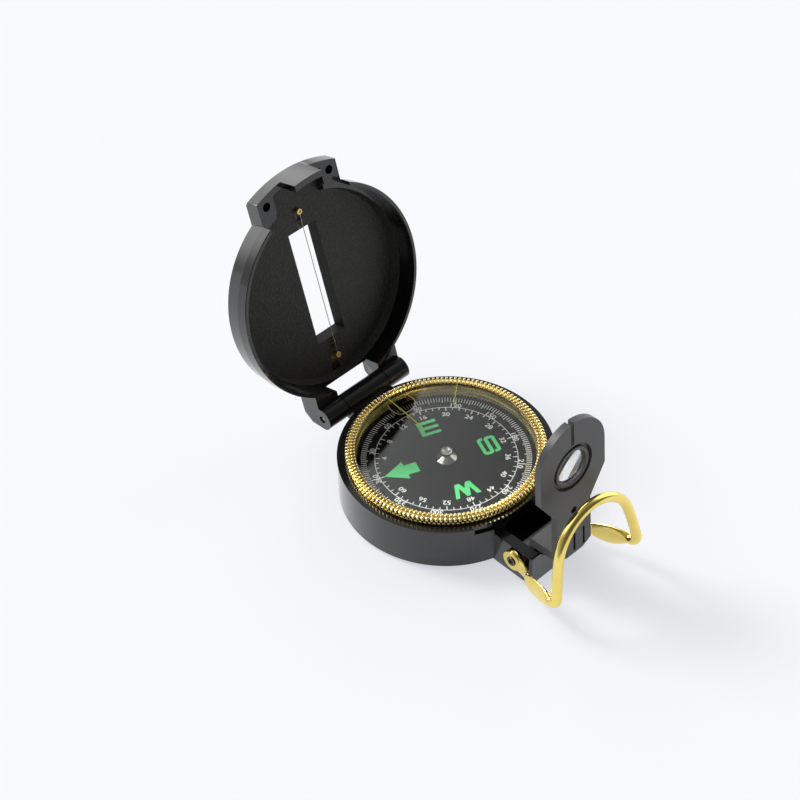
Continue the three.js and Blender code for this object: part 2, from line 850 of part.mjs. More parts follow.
// The middle line of one half of the loop, from the neck by the ear to the top of the arch. Each station has
// its centre, its two half sizes and the directions of both: across the blade's height and across its thickness.
function loopStations() {
  const lean = loopLean * degrees;
  const across = new THREE.Vector3(1, 0, 0);
  const cornerY = axleY - loopReach;
  const cornerZ = axleZ + loopRise;
  const stations = [];
  const add = (centre, halfHeight, halfThickness, heightAxis, thicknessAxis) => {
    stations.push({ centre, halfHeight, halfThickness, heightAxis, thicknessAxis });
  };

  const bladeStart = new THREE.Vector3((earInner + earOuter) / 2, axleY - 0.75 * earRadius, axleZ - 0.3);
  const neck = new THREE.Vector3(earOuter + 1.1, axleY - earRadius - 3, axleZ - 0.5);
  const bladeEnd = new THREE.Vector3(loopHalfWidth, cornerY + loopCornerRadius, cornerZ);
  const up = new THREE.Vector3(0, 0, 1);
  add(bladeStart, 1.7, bladeThickness / 2, up, across);
  add(bladeStart.clone().lerp(neck, 0.45), 1.5, bladeThickness / 2, up, across);
  const bladeSteps = 6;
  for (let i = 0; i <= bladeSteps; i += 1) {
    const t = i / bladeSteps;
    const swell = Math.sin(Math.PI * Math.min(1, t * 1.05 + 0.08)) ** 0.8;
    const halfHeight = loopWireRadius + bladeSwell * swell;
    const halfThickness = THREE.MathUtils.lerp(bladeThickness / 2, loopWireRadius, t ** 3);
    const centre = neck.clone().lerp(bladeEnd, t).addScaledVector(up, -bladeSag * swell);
    add(centre, halfHeight, halfThickness, up, across);
  }

  const turn = Math.PI / 2 - lean;
  const cornerSteps = 5;
  for (let i = 1; i <= cornerSteps; i += 1) {
    const angle = (turn * i) / cornerSteps;
    const centre = new THREE.Vector3(
      loopHalfWidth,
      cornerY + loopCornerRadius * (1 - Math.sin(angle)),
      cornerZ + loopCornerRadius * (1 - Math.cos(angle)),
    );
    const heightAxis = new THREE.Vector3(0, Math.sin(angle), Math.cos(angle));
    add(centre, loopWireRadius, loopWireRadius, heightAxis, across);
  }

  const rise = new THREE.Vector3(0, Math.sin(lean), Math.cos(lean));
  const normal = new THREE.Vector3(0, Math.cos(lean), -Math.sin(lean));
  const foot = stations[stations.length - 1].centre.clone().setX(0);
  const straight = loopArchHeight - loopArchHalfWidth - loopCornerRadius;
  const archPoint = (x, height) => foot.clone().addScaledVector(rise, height).setX(x);
  for (const share of [0.35, 0.7]) {
    const x = THREE.MathUtils.lerp(loopHalfWidth, loopArchHalfWidth, share);
    add(archPoint(x, straight * share), loopWireRadius, loopWireRadius, normal, across);
  }
  const archSteps = 9;
  for (let i = 0; i <= archSteps; i += 1) {
    const angle = (Math.PI / 2) * (i / archSteps);
    const x = loopArchHalfWidth * Math.cos(angle);
    const centre = archPoint(x, straight + loopArchHalfWidth * Math.sin(angle));
    const outward = new THREE.Vector3(Math.cos(angle), 0, 0).addScaledVector(rise, Math.sin(angle));
    add(centre, loopWireRadius, loopWireRadius, normal, outward);
  }
  stations[stations.length - 1].centre.setX(0);
  stations[stations.length - 1].thicknessAxis.setX(0);
  return stations;
}

function loopWire() {
  const sides = 14;
  const half = loopStations().map(({ centre, halfHeight, halfThickness, heightAxis, thicknessAxis }) => (
    Array.from({ length: sides }, (_, k) => {
      const angle = (2 * Math.PI * k) / sides;
      return centre.clone()
        .addScaledVector(heightAxis, halfHeight * Math.cos(angle))
        .addScaledVector(thicknessAxis, halfThickness * Math.sin(angle));
    })
  ));
  const mirrored = half.slice(0, -1).reverse().map((points) => (
    points.map((point) => new THREE.Vector3(-point.x, point.y, point.z))
  ));
  return lofted([...half, ...mirrored]);
}

function loopEar(side) {
  const inner = Math.min(side * earInner, side * earOuter);
  const plate = rodX(earRadius, inner, inner + earThickness, axleY, axleZ, 32);
  return cut(plate, rodX(axleBore, inner - 1, inner + earThickness + 1, axleY, axleZ));
}

function thumbLoop() {
  return joined(loopWire(), loopEar(-1), loopEar(1));
}

// Materials

const blackPlastic = { color: 0x1a1a1b, roughness: 0.35, metalness: 0 };
const blackSatin = { color: 0x262627, roughness: 0.5, metalness: 0 };
const gold = { color: 0xd9a93a, roughness: 0.25, metalness: 1 };
const brass = { color: 0xc9a24a, roughness: 0.35, metalness: 1 };
const steel = { color: 0xb9bcc0, roughness: 0.3, metalness: 1 };
const clear = { color: 0xf4f8fa, roughness: 0.03, metalness: 0, transparent: true, opacity: 0.25 };
const dialBlack = { color: 0x101112, roughness: 0.6, metalness: 0 };
const rubber = { color: 0x151515, roughness: 0.8, metalness: 0 };
const ruby = { color: 0xa01830, roughness: 0.1, metalness: 0 };
const magnetGrey = { color: 0x55585c, roughness: 0.5, metalness: 0.6 };

function node(name, body, look) {
  const mesh = new THREE.Mesh(geometryOf(body), new THREE.MeshStandardMaterial(look));
  mesh.name = name;
  return mesh;
}

// Assembly

const compass = new THREE.Group();
compass.add(
  node('case_body', caseBody(), blackPlastic),
  node('capsule_cup', capsuleCup(), blackSatin),
  node('capsule_fill_plug', fillPlug(), brass),
  node('pivot_base', pivotBase(), brass),
  node('pivot_needle', pivotNeedle(), steel),
  node('dial_card', dialCard(), dialBlack),
  node('dial_magnet', dialMagnet(), magnetGrey),
  node('dial_hub', dialHub(), steel),
  node('pivot_jewel', pivotJewel(), ruby),
  node('capsule_ring', capsuleRing(), gold),
  node('capsule_gasket', capsuleGasket(), rubber),
  node('capsule_crystal', capsuleCrystal(), clear),
  node('bezel_snap_ring', bezelSnapRing(), steel),
  node('bezel_ring', bezelRing(), gold),
  node('bezel_crystal', bezelCrystal(), clear),
  node('cover_hinge_pin', coverHingePin(), steel),
  node('bracket_axle', bracketAxle(), steel),
  node('thumb_loop', thumbLoop(), gold),
);

const coverHinge = new THREE.Group();
coverHinge.position.set(0, hingeY, hingeHeight);
coverHinge.rotation.x = -coverOpening * degrees;
const coverParts = new THREE.Group();
coverParts.position.set(0, -hingeY, -hingeHeight);
coverParts.add(
  node('cover', coverShell(), blackPlastic),
  node('sighting_wire', sightingWire(), brass),
  node('wire_pin_front', wirePin(wirePinFront), brass),
  node('wire_pin_rear', wirePin(wirePinRear), brass),
);
coverHinge.add(coverParts);
compass.add(coverHinge);

const eyepiece = new THREE.Group();
eyepiece.position.set(0, axleY, axleZ);
eyepiece.rotation.x = -eyepieceLean * degrees;
eyepiece.add(
  node('eyepiece_arm', eyepieceArm(), blackSatin),
  node('eyepiece_lens', eyepieceLens(), clear),
  node('lens_retaining_ring', lensRetainer(), blackSatin),
);
compass.add(eyepiece);

compass.updateMatrixWorld(true);

export default compass;
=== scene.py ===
# %% [markdown]
# A lensatic compass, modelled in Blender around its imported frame.
# The frame holds the exact solids of every piece. It says where each piece sits and what it turns on. This
# lesson builds the fine, visible form of each piece in the same place, and then gives it its finish.
#
# A compass of this kind has a black moulded case with a cover, a dial under a crystal, a knurled gold bezel,
# an eyepiece that folds, and a thumb loop of gold wire. They are made in that order, and the studio last.

import math

import bmesh
import bpy
from mathutils import Matrix, Vector


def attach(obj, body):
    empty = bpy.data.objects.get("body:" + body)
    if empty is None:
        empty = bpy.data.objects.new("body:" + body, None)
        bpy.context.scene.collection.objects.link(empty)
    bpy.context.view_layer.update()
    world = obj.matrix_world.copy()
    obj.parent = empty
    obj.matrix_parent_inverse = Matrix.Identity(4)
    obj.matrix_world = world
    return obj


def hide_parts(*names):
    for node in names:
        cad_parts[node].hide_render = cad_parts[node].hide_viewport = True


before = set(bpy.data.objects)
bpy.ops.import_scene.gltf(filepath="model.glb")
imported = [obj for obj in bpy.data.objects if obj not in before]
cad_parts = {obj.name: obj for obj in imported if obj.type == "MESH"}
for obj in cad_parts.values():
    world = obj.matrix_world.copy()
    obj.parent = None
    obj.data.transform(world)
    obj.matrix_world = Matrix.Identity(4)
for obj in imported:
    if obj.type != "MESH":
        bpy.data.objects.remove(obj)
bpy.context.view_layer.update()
print("nodes:", len(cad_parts))

# %% [markdown]
# The compass is drawn in millimetres, as a maker would, and Blender works in metres. One value turns the
# first into the second. The axes are those of the frame: up is Z, and a user sights along Y.

# %% Sizes that several pieces share
MM = 0.001
FULL_TURN = math.tau
CASE_RADIUS = 28.5
CASE_TOP = 13.4
HINGE_Y, HINGE_Z = 31.8, 13.24
AXLE_Y, AXLE_Z = -34.1, 6.4
BORE = 1.05
COVER_OPENING = 105.95
EYEPIECE_LEAN = 3.2
print("the case is", 2 * CASE_RADIUS, "mm across")

# %% [markdown]
# An operator in Blender acts on everything that is selected, as a click on a menu does. So each step first
# says what it works on. These helpers select objects, and step in and out of edit mode.

# %% Selecting, and stepping in and out of edit mode
def deselect():
    bpy.ops.object.select_all(action="DESELECT")


def select(*pieces):
    """Selects these pieces and nothing else, with the first one active."""
    deselect()
    for piece in pieces:
        piece.select_set(True)
    bpy.context.view_layer.objects.active = pieces[0]


def edit(obj, mode="VERT"):
    """Opens a piece in edit mode with all of it selected."""
    select(obj)
    bpy.ops.object.mode_set(mode="EDIT")
    bpy.ops.mesh.select_mode(type=mode)
    bpy.ops.mesh.select_all(action="SELECT")


def leave():
    bpy.ops.object.mode_set(mode="OBJECT")


# %% [markdown]
# A spin or an extrusion can leave double points, and it can turn a shape inside out. Both spoil the shading
# and every later cut, so each new shape is tidied while it is still open in edit mode. Recalculating the
# normals can still guess wrong on a small shape, and there a negative volume tells the truth.

# %% Tidying a shape and settling it in place
DOUBLES = 0.0005 * MM


def tidy_mesh():
    """Merges doubles and points every face outwards, and leaves edit mode."""
    bpy.ops.mesh.select_all(action="SELECT")
    bpy.ops.mesh.remove_doubles(threshold=DOUBLES)
    bpy.ops.mesh.normals_make_consistent(inside=False)
    if bmesh.from_edit_mesh(bpy.context.object.data).calc_volume(signed=True) < 0:
        bpy.ops.mesh.flip_normals()
    leave()


def settle(obj):
    """Bakes the object's place into its mesh, so that the object itself sits at the origin."""
    select(obj)
    bpy.ops.object.transform_apply(location=True, rotation=True, scale=True)
    return obj


def place(obj, matrix):
    """Moves a piece by a matrix and settles it there."""
    obj.matrix_world = matrix @ obj.matrix_world
    return settle(obj)


# %% [markdown]
# Most pieces of a compass are turned on a lathe or pressed from a plate. A hand makes such a shape in edit
# mode: it shrinks a primitive to one point, extrudes that point along the outline, and then spins the line or
# fills it and pushes it out. The small errors of many moves add up, so the points are put exactly in place.

# %% A line of points
def line(name, points, closed=False):
    """Draws a line of points, in millimetres, and stays in edit mode with all of it selected."""
    deselect()
    bpy.ops.mesh.primitive_plane_add(size=MM, enter_editmode=True)
    obj = bpy.context.object
    obj.name = obj.data.name = name
    bpy.ops.mesh.select_mode(type="VERT")
    bpy.ops.mesh.merge(type="CENTER")
    bpy.ops.transform.translate(value=Vector(points[0]) * MM)
    for here, there in zip(points, points[1:]):
        step = (Vector(there) - Vector(here)) * MM
        bpy.ops.mesh.extrude_vertices_move(TRANSFORM_OT_translate={"value": step})
    mesh = bmesh.from_edit_mesh(obj.data)
    exact = [Vector(point) * MM for point in points]
    for vertex in mesh.verts:
        vertex.co = min(exact, key=lambda place: (place - vertex.co).length)
        vertex.select = len(vertex.link_edges) == 1
    bmesh.update_edit_mesh(obj.data)
    if closed:
        bpy.ops.mesh.edge_face_add()
    bpy.ops.mesh.select_all(action="SELECT")
    return obj


# %% Turned shapes and plates
ROUND_STEPS = 192


def turned(name, profile, steps=ROUND_STEPS, closed=False):
    """Turns a profile of (radius, height) pairs about the vertical axis."""
    obj = line(name, [(r, 0, z) for r, z in profile], closed)
    bpy.ops.mesh.spin(steps=steps, angle=FULL_TURN, center=(0, 0, 0), axis=(0, 0, 1))
    tidy_mesh()
    return obj


def plate(name, outline, push):
    """Fills a closed outline of points and extrudes it by the vector push."""
    obj = line(name, outline, closed=True)
    bpy.ops.mesh.edge_face_add()
    bpy.ops.mesh.extrude_region_move(TRANSFORM_OT_translate={"value": Vector(push) * MM})
    tidy_mesh()
    return obj


# %% [markdown]
# Blocks and rods start from the cube and the cylinder. They serve as cutters and as parts of larger pieces,
# never as finished ones. A block's corners are put exactly where they are asked for, because two faces that
# almost meet make a cut fail.

# %% Blocks and rods
def block(name, low, high):
    """A block from one corner to the other, started from a cube."""
    middle = [(a + b) / 2 * MM for a, b in zip(low, high)]
    size = [(b - a) * MM for a, b in zip(low, high)]
    deselect()
    bpy.ops.mesh.primitive_cube_add(size=1, location=middle, scale=size)
    obj = settle(bpy.context.object)
    obj.name = name
    for vertex in obj.data.vertices:
        for axis in range(3):
            vertex.co[axis] = (high if vertex.co[axis] > middle[axis] else low)[axis] * MM
    return obj


def rod(name, radius, start, end, sides=48):
    """A round rod between two points."""
    start, end = Vector(start) * MM, Vector(end) * MM
    turn = (end - start).to_track_quat("Z", "Y").to_euler()
    deselect()
    bpy.ops.mesh.primitive_cylinder_add(
        vertices=sides, radius=radius * MM, depth=(end - start).length, location=(start + end) / 2, rotation=turn
    )
    bpy.context.object.name = name
    return settle(bpy.context.object)


# %% [markdown]
# Holes, slots and pits are cut with a Boolean modifier, and arms and lugs are joined with it. The exact solver
# is slower than the fast one, and it copes with faces that lie in one plane. Pieces that only lie side by
# side, such as printed marks, need no solver and are simply joined as objects.

# %% Cutting and joining
def combine(obj, tool, how):
    select(obj)
    modifier = obj.modifiers.new(how.title(), "BOOLEAN")
    modifier.operation, modifier.solver, modifier.object = how, "EXACT", tool
    bpy.ops.object.modifier_apply(modifier=modifier.name)
    bpy.data.objects.remove(tool)
    return obj


def cut(obj, *tools):
    for tool in tools:
        combine(obj, tool, "DIFFERENCE")
    return obj


def join_solid(obj, *tools):
    for tool in tools:
        combine(obj, tool, "UNION")
    return obj


def overlap(obj, tool):
    return combine(obj, tool, "INTERSECT")


def gather(name, pieces):
    """Makes one object of several that only lie side by side."""
    select(*pieces)
    bpy.ops.object.join()
    pieces[0].name = name
    return pieces[0]


# %% [markdown]
# Cutting leaves traces: a tiny hole where two faces almost touch, a flat face split in several, or a face as
# thin as a hair. None of them shows until an edge is rounded, and then it shows as a dark wedge. So a piece
# that needs it is mended before its edges are rounded.

# %% Mending what cutting leaves
def measure(obj):
    """Counts the open edges of a piece and works out its volume in cubic millimetres."""
    mesh = bmesh.new()
    mesh.from_mesh(obj.data)
    open_edges = sum(not edge.is_manifold for edge in mesh.edges)
    volume = mesh.calc_volume(signed=True) / MM**3
    mesh.free()
    return open_edges, volume


def close_gaps(obj, reach=0.002 * MM, most_sides=8):
    """Fills the tiny holes that joining can leave where two faces almost touch."""
    edit(obj)
    bpy.ops.mesh.remove_doubles(threshold=reach)
    bpy.ops.mesh.select_all(action="DESELECT")
    bpy.ops.mesh.select_non_manifold()
    bpy.ops.mesh.fill_holes(sides=most_sides)
    leave()
    print(obj.name, "open edges after closing:", measure(obj)[0])


def merge_flats(obj, reach=0.001 * MM, flat_within=0.4):
    """Merges the flat faces that cutting left in pieces."""
    edit(obj)
    bpy.ops.mesh.remove_doubles(threshold=reach)
    bpy.ops.mesh.dissolve_limited(angle_limit=math.radians(flat_within))
    leave()


def drop_slivers(obj, thinnest):
    """Merges away faces thinner than this many millimetres."""
    edit(obj)
    bpy.ops.mesh.remove_doubles(threshold=thinnest * MM)
    bpy.ops.mesh.dissolve_degenerate(threshold=thinnest * MM)
    bpy.ops.mesh.normals_make_consistent(inside=False)
    leave()


# %% [markdown]
# No real edge is perfectly sharp. A narrow bevel catches a line of light along each edge, and that line is
# much of what makes a moulding look solid. After the bevel the large faces should still look flat, so their
# normals are weighted by area.

# %% Rounding and smoothing
SOFT_ANGLE = 60


def smooth(obj, angle=32):
    """Shades a piece smooth, apart from edges sharper than an angle in degrees."""
    select(obj)
    bpy.ops.object.shade_smooth_by_angle(angle=math.radians(angle))
    return obj


def soften(obj, width, angle=35, segments=2, slivers=0.0):
    """Rounds the edges sharper than an angle, by a width in millimetres, and keeps the flat faces flat."""
    select(obj)
    rounded = obj.modifiers.new("Rounded edges", "BEVEL")
    rounded.width, rounded.segments = width * MM, segments
    rounded.limit_method, rounded.angle_limit = "ANGLE", math.radians(angle)
    bpy.ops.object.modifier_apply(modifier=rounded.name)
    if slivers:
        drop_slivers(obj, slivers)
    smooth(obj, SOFT_ANGLE)
    flatten = obj.modifiers.new("Flat faces stay flat", "WEIGHTED_NORMAL")
    flatten.keep_sharp = True
    bpy.ops.object.modifier_apply(modifier=flatten.name)
    return obj


# %% [markdown]
# A finished piece is handed to the frame. It gets its material and the body that it moves with. Where it stands for
# one of the frame's own solids, it says which, and that solid is hidden.

# %% Handing a piece to the frame
def wear(obj, body, material, slot, *nodes):
    """Gives a finished piece its material and its body, and hides the frame's nodes that it stands for. The slot is
    not used.
    """
    obj.data.materials.clear()
    obj.data.materials.append(material)
    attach(obj, body)
    if nodes:
        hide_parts(*nodes)
    open_edges, volume = measure(obj)
    faces = len(obj.data.polygons)
    print(f"{obj.name} rides on {body}: {faces} faces, {open_edges} open edges, {volume:.1f} cubic mm")
    return obj


def second_finish(obj, material, faces, index=1):
    """Gives some faces of a piece another material."""
    obj.data.materials.append(material)
    for face in faces:
        obj.data.polygons[face].material_index = index


# %% [markdown]
# Now the finishes. A finish is a small network of nodes that feed one shader. Two helpers save typing: one
# makes a node and sets its values, and the other draws the links between them.

# %% The tools for materials
def node(tree, kind, values=None, **settings):
    """Makes a node with its settings, and then fills in the values of its sockets."""
    made = tree.nodes.new(kind)
    for key, value in settings.items():
        setattr(made, key, value)
    for key, value in (values or {}).items():
        made.inputs[key].default_value = value
    return made


def link(tree, *wires):
    """Links nodes. Each wire names a node, its output, the next node and its input."""
    for giver, output, taker, entry in wires:
        tree.links.new(giver.outputs[output], taker.inputs[entry])


def group(name, inputs, outputs):
    """Starts a node group with named inputs and outputs."""
    tree = bpy.data.node_groups.new(name, "ShaderNodeTree")
    for label, kind, value in inputs:
        socket = tree.interface.new_socket(label, in_out="INPUT", socket_type=kind)
        if value is not None:
            socket.default_value = value
    for label, kind in outputs:
        tree.interface.new_socket(label, in_out="OUTPUT", socket_type=kind)
    return tree, tree.nodes.new("NodeGroupInput"), tree.nodes.new("NodeGroupOutput")


def blank_material(name):
    material = bpy.data.materials.new(name)
    material.use_nodes = True
    tree = material.node_tree
    return material, tree, tree.nodes["Principled BSDF"]


# %% [markdown]
# Black moulding is never plainly black. It has a fine grain from the mould, and it is duller where fingers
# rub it. Many finishes share these effects, so each effect is a node group, made once and placed in every
# material with its own strength. A group puts out only values, and the shader stays in the material.

# %% A node group for fine moulded grain
VECTOR, FLOAT = "NodeSocketVector", "NodeSocketFloat"


def make_grain():
    """Soft noise plus small cells, as a height, and the noise alone as a speckle of colour."""
    tree, entry, out = group(
        "Moulded grain",
        [("Vector", VECTOR, None), ("Grain size", FLOAT, 4000.0)],
        [("Height", FLOAT), ("Speckle", FLOAT)],
    )
    fine = node(tree, "ShaderNodeTexNoise", {"Detail": 3.0, "Roughness": 0.6})
    cells = node(tree, "ShaderNodeTexVoronoi", feature="SMOOTH_F1")
    mix = node(tree, "ShaderNodeMath", operation="ADD")
    for texture in (fine, cells):
        link(tree, (entry, "Vector", texture, "Vector"), (entry, "Grain size", texture, "Scale"))
    link(
        tree,
        (fine, "Fac", mix, 0),
        (cells, "Distance", mix, 1),
        (mix, "Value", out, "Height"),
        (fine, "Fac", out, "Speckle"),
    )
    return tree


grain_group = make_grain()
print("node group:", grain_group.name)

# %% A node group for handling marks
def make_handling():
    """A roughness that swings about its base value, as where fingers have dulled a surface or polished it."""
    tree, entry, out = group(
        "Handling marks",
        [("Vector", VECTOR, None), ("Amount", FLOAT, 0.1), ("Base", FLOAT, 0.4)],
        [("Roughness", FLOAT)],
    )
    smear = node(tree, "ShaderNodeTexNoise", {"Scale": 120.0, "Detail": 5.0, "Distortion": 0.6})
    centre = node(tree, "ShaderNodeMath", {1: 0.5}, operation="SUBTRACT")
    swing = node(tree, "ShaderNodeMath", operation="MULTIPLY")
    total = node(tree, "ShaderNodeMath", operation="ADD", use_clamp=True)
    link(
        tree,
        (entry, "Vector", smear, "Vector"),
        (smear, "Fac", centre, 0),
        (centre, "Value", swing, 0),
        (entry, "Amount", swing, 1),
        (swing, "Value", total, 0),
        (entry, "Base", total, 1),
        (total, "Value", out, "Roughness"),
    )
    return tree


handling_group = make_handling()
print("node group:", handling_group.name)

# %% [markdown]
# The case is a satin moulding with a polished skin. One gloss alone can't show both, so a thin clear coat
# lies over a duller base. The cover's inside comes from a sandblasted part of the mould, so its grain is
# coarse and deep. Print and rubber are made the same way, with other values.

# %% Mouldings, print and rubber
COAT_ROUGHNESS = 0.09


def grey(level):
    return (level, level, level)


def moulding(name, dark, light, roughness, grain=0.25, **look):
    """A moulded finish between two close colours, with grain in its height and smudges in its gloss."""
    material, tree, skin = blank_material(name)
    skin.inputs["Specular IOR Level"].default_value = look.get("gloss", 0.5)
    skin.inputs["Coat Weight"].default_value = look.get("coat", 0.0)
    skin.inputs["Coat Roughness"].default_value = COAT_ROUGHNESS
    place_in = node(tree, "ShaderNodeTexCoord")
    grains = node(tree, "ShaderNodeGroup", {"Grain size": look.get("grain_size", 3200.0)}, node_tree=grain_group)
    handled = {"Amount": look.get("handling", 0.12), "Base": roughness}
    marks = node(tree, "ShaderNodeGroup", handled, node_tree=handling_group)
    colours = node(tree, "ShaderNodeMix", {"A": (*dark, 1), "B": (*light, 1)}, data_type="RGBA")
    bump = node(tree, "ShaderNodeBump", {"Strength": grain, "Distance": look.get("depth", 0.02) * MM})
    link(
        tree,
        (place_in, "Object", grains, "Vector"),
        (place_in, "Object", marks, "Vector"),
        (grains, "Speckle", colours, "Factor"),
        (colours, "Result", skin, "Base Color"),
        (marks, "Roughness", skin, "Roughness"),
        (grains, "Height", bump, "Height"),
        (bump, "Normal", skin, "Normal"),
    )
    return material


# %% The black mouldings
case_black = moulding(
    "Moulded black", grey(0.002), grey(0.005), 0.28, grain=0.12, grain_size=2600.0, handling=0.16, gloss=0.2, coat=1.0
)
# The slot's finish is painted shade: a darker black for the walls of the sighting slot.
slot_painted_shade = moulding(
    "Slot painted shade", grey(0.0005), (0.003, 0.003, 0.0025), 0.6, grain=0.6, grain_size=1700.0, gloss=0.15
)
sand_black = moulding(
    "Sand black",
    grey(0.001),
    (0.054, 0.054, 0.044),
    0.42,
    grain=1.0,
    grain_size=1700.0,
    handling=0.08,
    gloss=0.35,
    depth=0.09,
)
eyepiece_black = moulding("Eyepiece black", (0.050, 0.050, 0.051), (0.068, 0.068, 0.069), 0.36, grain=0.15)
capsule_black = moulding("Capsule black", grey(0.008), grey(0.016), 0.45)
dial_black = moulding("Dial black", grey(0.003), (0.005, 0.005, 0.004), 0.6, grain=0.02, gloss=0.15)

# %% Rubber, the magnet and the printed paints
gasket_rubber = moulding("Gasket rubber", grey(0.008), grey(0.020), 0.7, grain=0.5)
magnet_grey = moulding("Magnet grey", (0.08, 0.08, 0.085), (0.16, 0.16, 0.17), 0.5, grain=0.6)
white_print = moulding("White print", (0.94, 0.94, 0.92), (1.0, 1.0, 0.98), 0.5, grain=0.2)
green_print = moulding("Green print", (0.11, 0.95, 0.27), (0.16, 1.0, 0.34), 0.45, grain=0.3)
line_paint = moulding("Index line paint", (0.50, 0.52, 0.02), (0.66, 0.68, 0.05), 0.4, grain=0.3)
# The bubble's edge colour is a painted highlight, for the light that the bubble's edge catches.
bubble_edge_highlight = moulding(
    "Bubble edge painted highlight", (0.42, 0.36, 0.24), (0.92, 0.88, 0.76), 0.15, grain=0.2, grain_size=900.0
)
print("materials so far:", len(bpy.data.materials))

# %% [markdown]
# Metals. Gold plating over brass is a mirror with a colour, so most of its look is what it reflects. Fine
# turning lines and a slow change of tint keep it from looking like paint. The capsule's ring is rougher than
# the bezel, and the bezel is paler than the wire of the loop.

# %% How a metal is made
def metal(name, tint, deep, roughness, lines=900.0, strength=0.15):
    """A metal that drifts between a tint and a deeper one, with fine lines across its height."""
    material, tree, skin = blank_material(name)
    skin.inputs["Metallic"].default_value = 1.0
    place_in = node(tree, "ShaderNodeTexCoord")
    cloud = node(tree, "ShaderNodeTexNoise", {"Scale": 260.0, "Detail": 4.0})
    colours = node(tree, "ShaderNodeMix", {"A": (*deep, 1), "B": (*tint, 1)}, data_type="RGBA")
    marks = node(tree, "ShaderNodeGroup", {"Amount": 0.1, "Base": roughness}, node_tree=handling_group)
    stretch = node(tree, "ShaderNodeMapping", {"Scale": (1.0, 1.0, 6.0)})
    scratch = node(tree, "ShaderNodeTexNoise", {"Scale": lines, "Detail": 2.0})
    bump = node(tree, "ShaderNodeBump", {"Strength": strength, "Distance": 0.01 * MM})
    link(
        tree,
        (place_in, "Object", cloud, "Vector"),
        (place_in, "Object", marks, "Vector"),
        (place_in, "Object", stretch, "Vector"),
        (stretch, "Vector", scratch, "Vector"),
        (cloud, "Fac", colours, "Factor"),
        (colours, "Result", skin, "Base Color"),
        (marks, "Roughness", skin, "Roughness"),
        (scratch, "Fac", bump, "Height"),
        (bump, "Normal", skin, "Normal"),
    )
    return material


# %% Gold, brass and steel
gold = metal("Gold plating", (0.98, 0.80, 0.27), (0.88, 0.66, 0.14), 0.20)
pale_gold = metal("Pale gold", (1.0, 0.86, 0.44), (0.94, 0.75, 0.30), 0.16)
# The deeper gold is painted shade: it darkens the bezel's top between the ribs.
gold_painted_shade = metal("Gold painted shade", (0.78, 0.58, 0.20), (0.58, 0.40, 0.11), 0.30)
satin_gold = metal("Satin gold", (1.0, 0.82, 0.36), (0.94, 0.68, 0.22), 0.24, lines=500.0, strength=0.2)
brass = metal("Plain brass", (0.80, 0.60, 0.25), (0.62, 0.43, 0.14), 0.32)
dark_wire = metal("Dark wire", (0.36, 0.30, 0.17), (0.22, 0.18, 0.10), 0.30)
steel = metal("Turned steel", (0.52, 0.51, 0.49), (0.36, 0.35, 0.34), 0.30)
bright_steel = metal("Bright steel", (0.74, 0.72, 0.68), (0.60, 0.58, 0.54), 0.09, strength=0.08)
dark_steel = metal("Dark steel", (0.20, 0.19, 0.18), (0.07, 0.065, 0.06), 0.34)
print("materials so far:", len(bpy.data.materials))

# %% [markdown]
# Clear pieces. Light has to reach the dial under two crystals, and a path tracer would leave it in shadow
# there. So the glass lets shadow rays pass through a transparent shader, and stays real glass for every other
# ray. The crystals have no bump, because the smallest one would make the print under them swim.

# %% Crystals, the lens and the jewel
def crystal(name, tint, roughness=0.0, ior=1.45):
    """Clear glass with a faint smear of handling, open to the light that falls through it."""
    material, tree, skin = blank_material(name)
    skin.inputs["Base Color"].default_value = (*tint, 1)
    skin.inputs["Transmission Weight"].default_value = 1.0
    skin.inputs["IOR"].default_value = ior
    place_in = node(tree, "ShaderNodeTexCoord")
    marks = node(tree, "ShaderNodeGroup", {"Amount": 0.03, "Base": roughness}, node_tree=handling_group)
    path = node(tree, "ShaderNodeLightPath")
    passing = node(tree, "ShaderNodeBsdfTransparent")
    either = node(tree, "ShaderNodeMixShader")
    link(
        tree,
        (place_in, "Object", marks, "Vector"),
        (marks, "Roughness", skin, "Roughness"),
        (path, "Is Shadow Ray", either, "Fac"),
        (skin, "BSDF", either, 1),
        (passing, "BSDF", either, 2),
        (either, "Shader", tree.nodes["Material Output"], "Surface"),
    )
    return material


clear = crystal("Clear crystal", (0.97, 0.985, 0.975))
lens_glass = crystal("Lens glass", (0.97, 0.98, 0.98))
# The bubble's two tinted glasses are painted shade, for the dial that looks darker through the bubble.
bubble_painted_dimming = crystal("Bubble film painted shade", (0.55, 0.52, 0.46), ior=1.05)
bubble_painted_shade_glass = crystal("Bubble painted shade", (0.04, 0.035, 0.03), ior=1.05)
ruby = crystal("Jewel red", (0.6, 0.03, 0.08), roughness=0.02, ior=1.76)
print("materials:", len(bpy.data.materials))

# %% [markdown]
# The case is one moulding: a turned cup, a bracket block in front and half of the hinge behind. The cup could
# be a cylinder with a bevel, but its foot slopes and its rim is stepped, so it is turned from its profile. In
# front, its round side is cut back to a flat shelf between the bracket's walls.

# %% The case's cup
def case_cup():
    """The solid cup, still too tall at both ends, cut back in front of the bracket."""
    cup = turned("case_body", [(0, -1), (26.6, -1), (CASE_RADIUS, 0.9), (CASE_RADIUS, 14.4), (0, 14.4)])
    front = block("front", (-14.4, -40, -1), (14.4, 0, 20))
    side = turned("side", [(28.2, -1), (40, -1), (40, 20), (28.2, 20)], closed=True)
    overlap(side, front)
    shelf_front = block("shelf front", (-14.4, -40, 11.3), (14.4, 0, 20))
    shelf = turned("shelf", [(27.5, 11), (40, 11), (40, 20), (27.5, 20)], closed=True)
    overlap(shelf, shelf_front)
    return cut(cup, side, shelf)


# %% [markdown]
# The bracket is a small open box that holds the axle. Its mouth has sloped corners, and its walls end in a
# slant, so that the eyepiece can fold through it. Each slant is cut with a wedge drawn from the side.

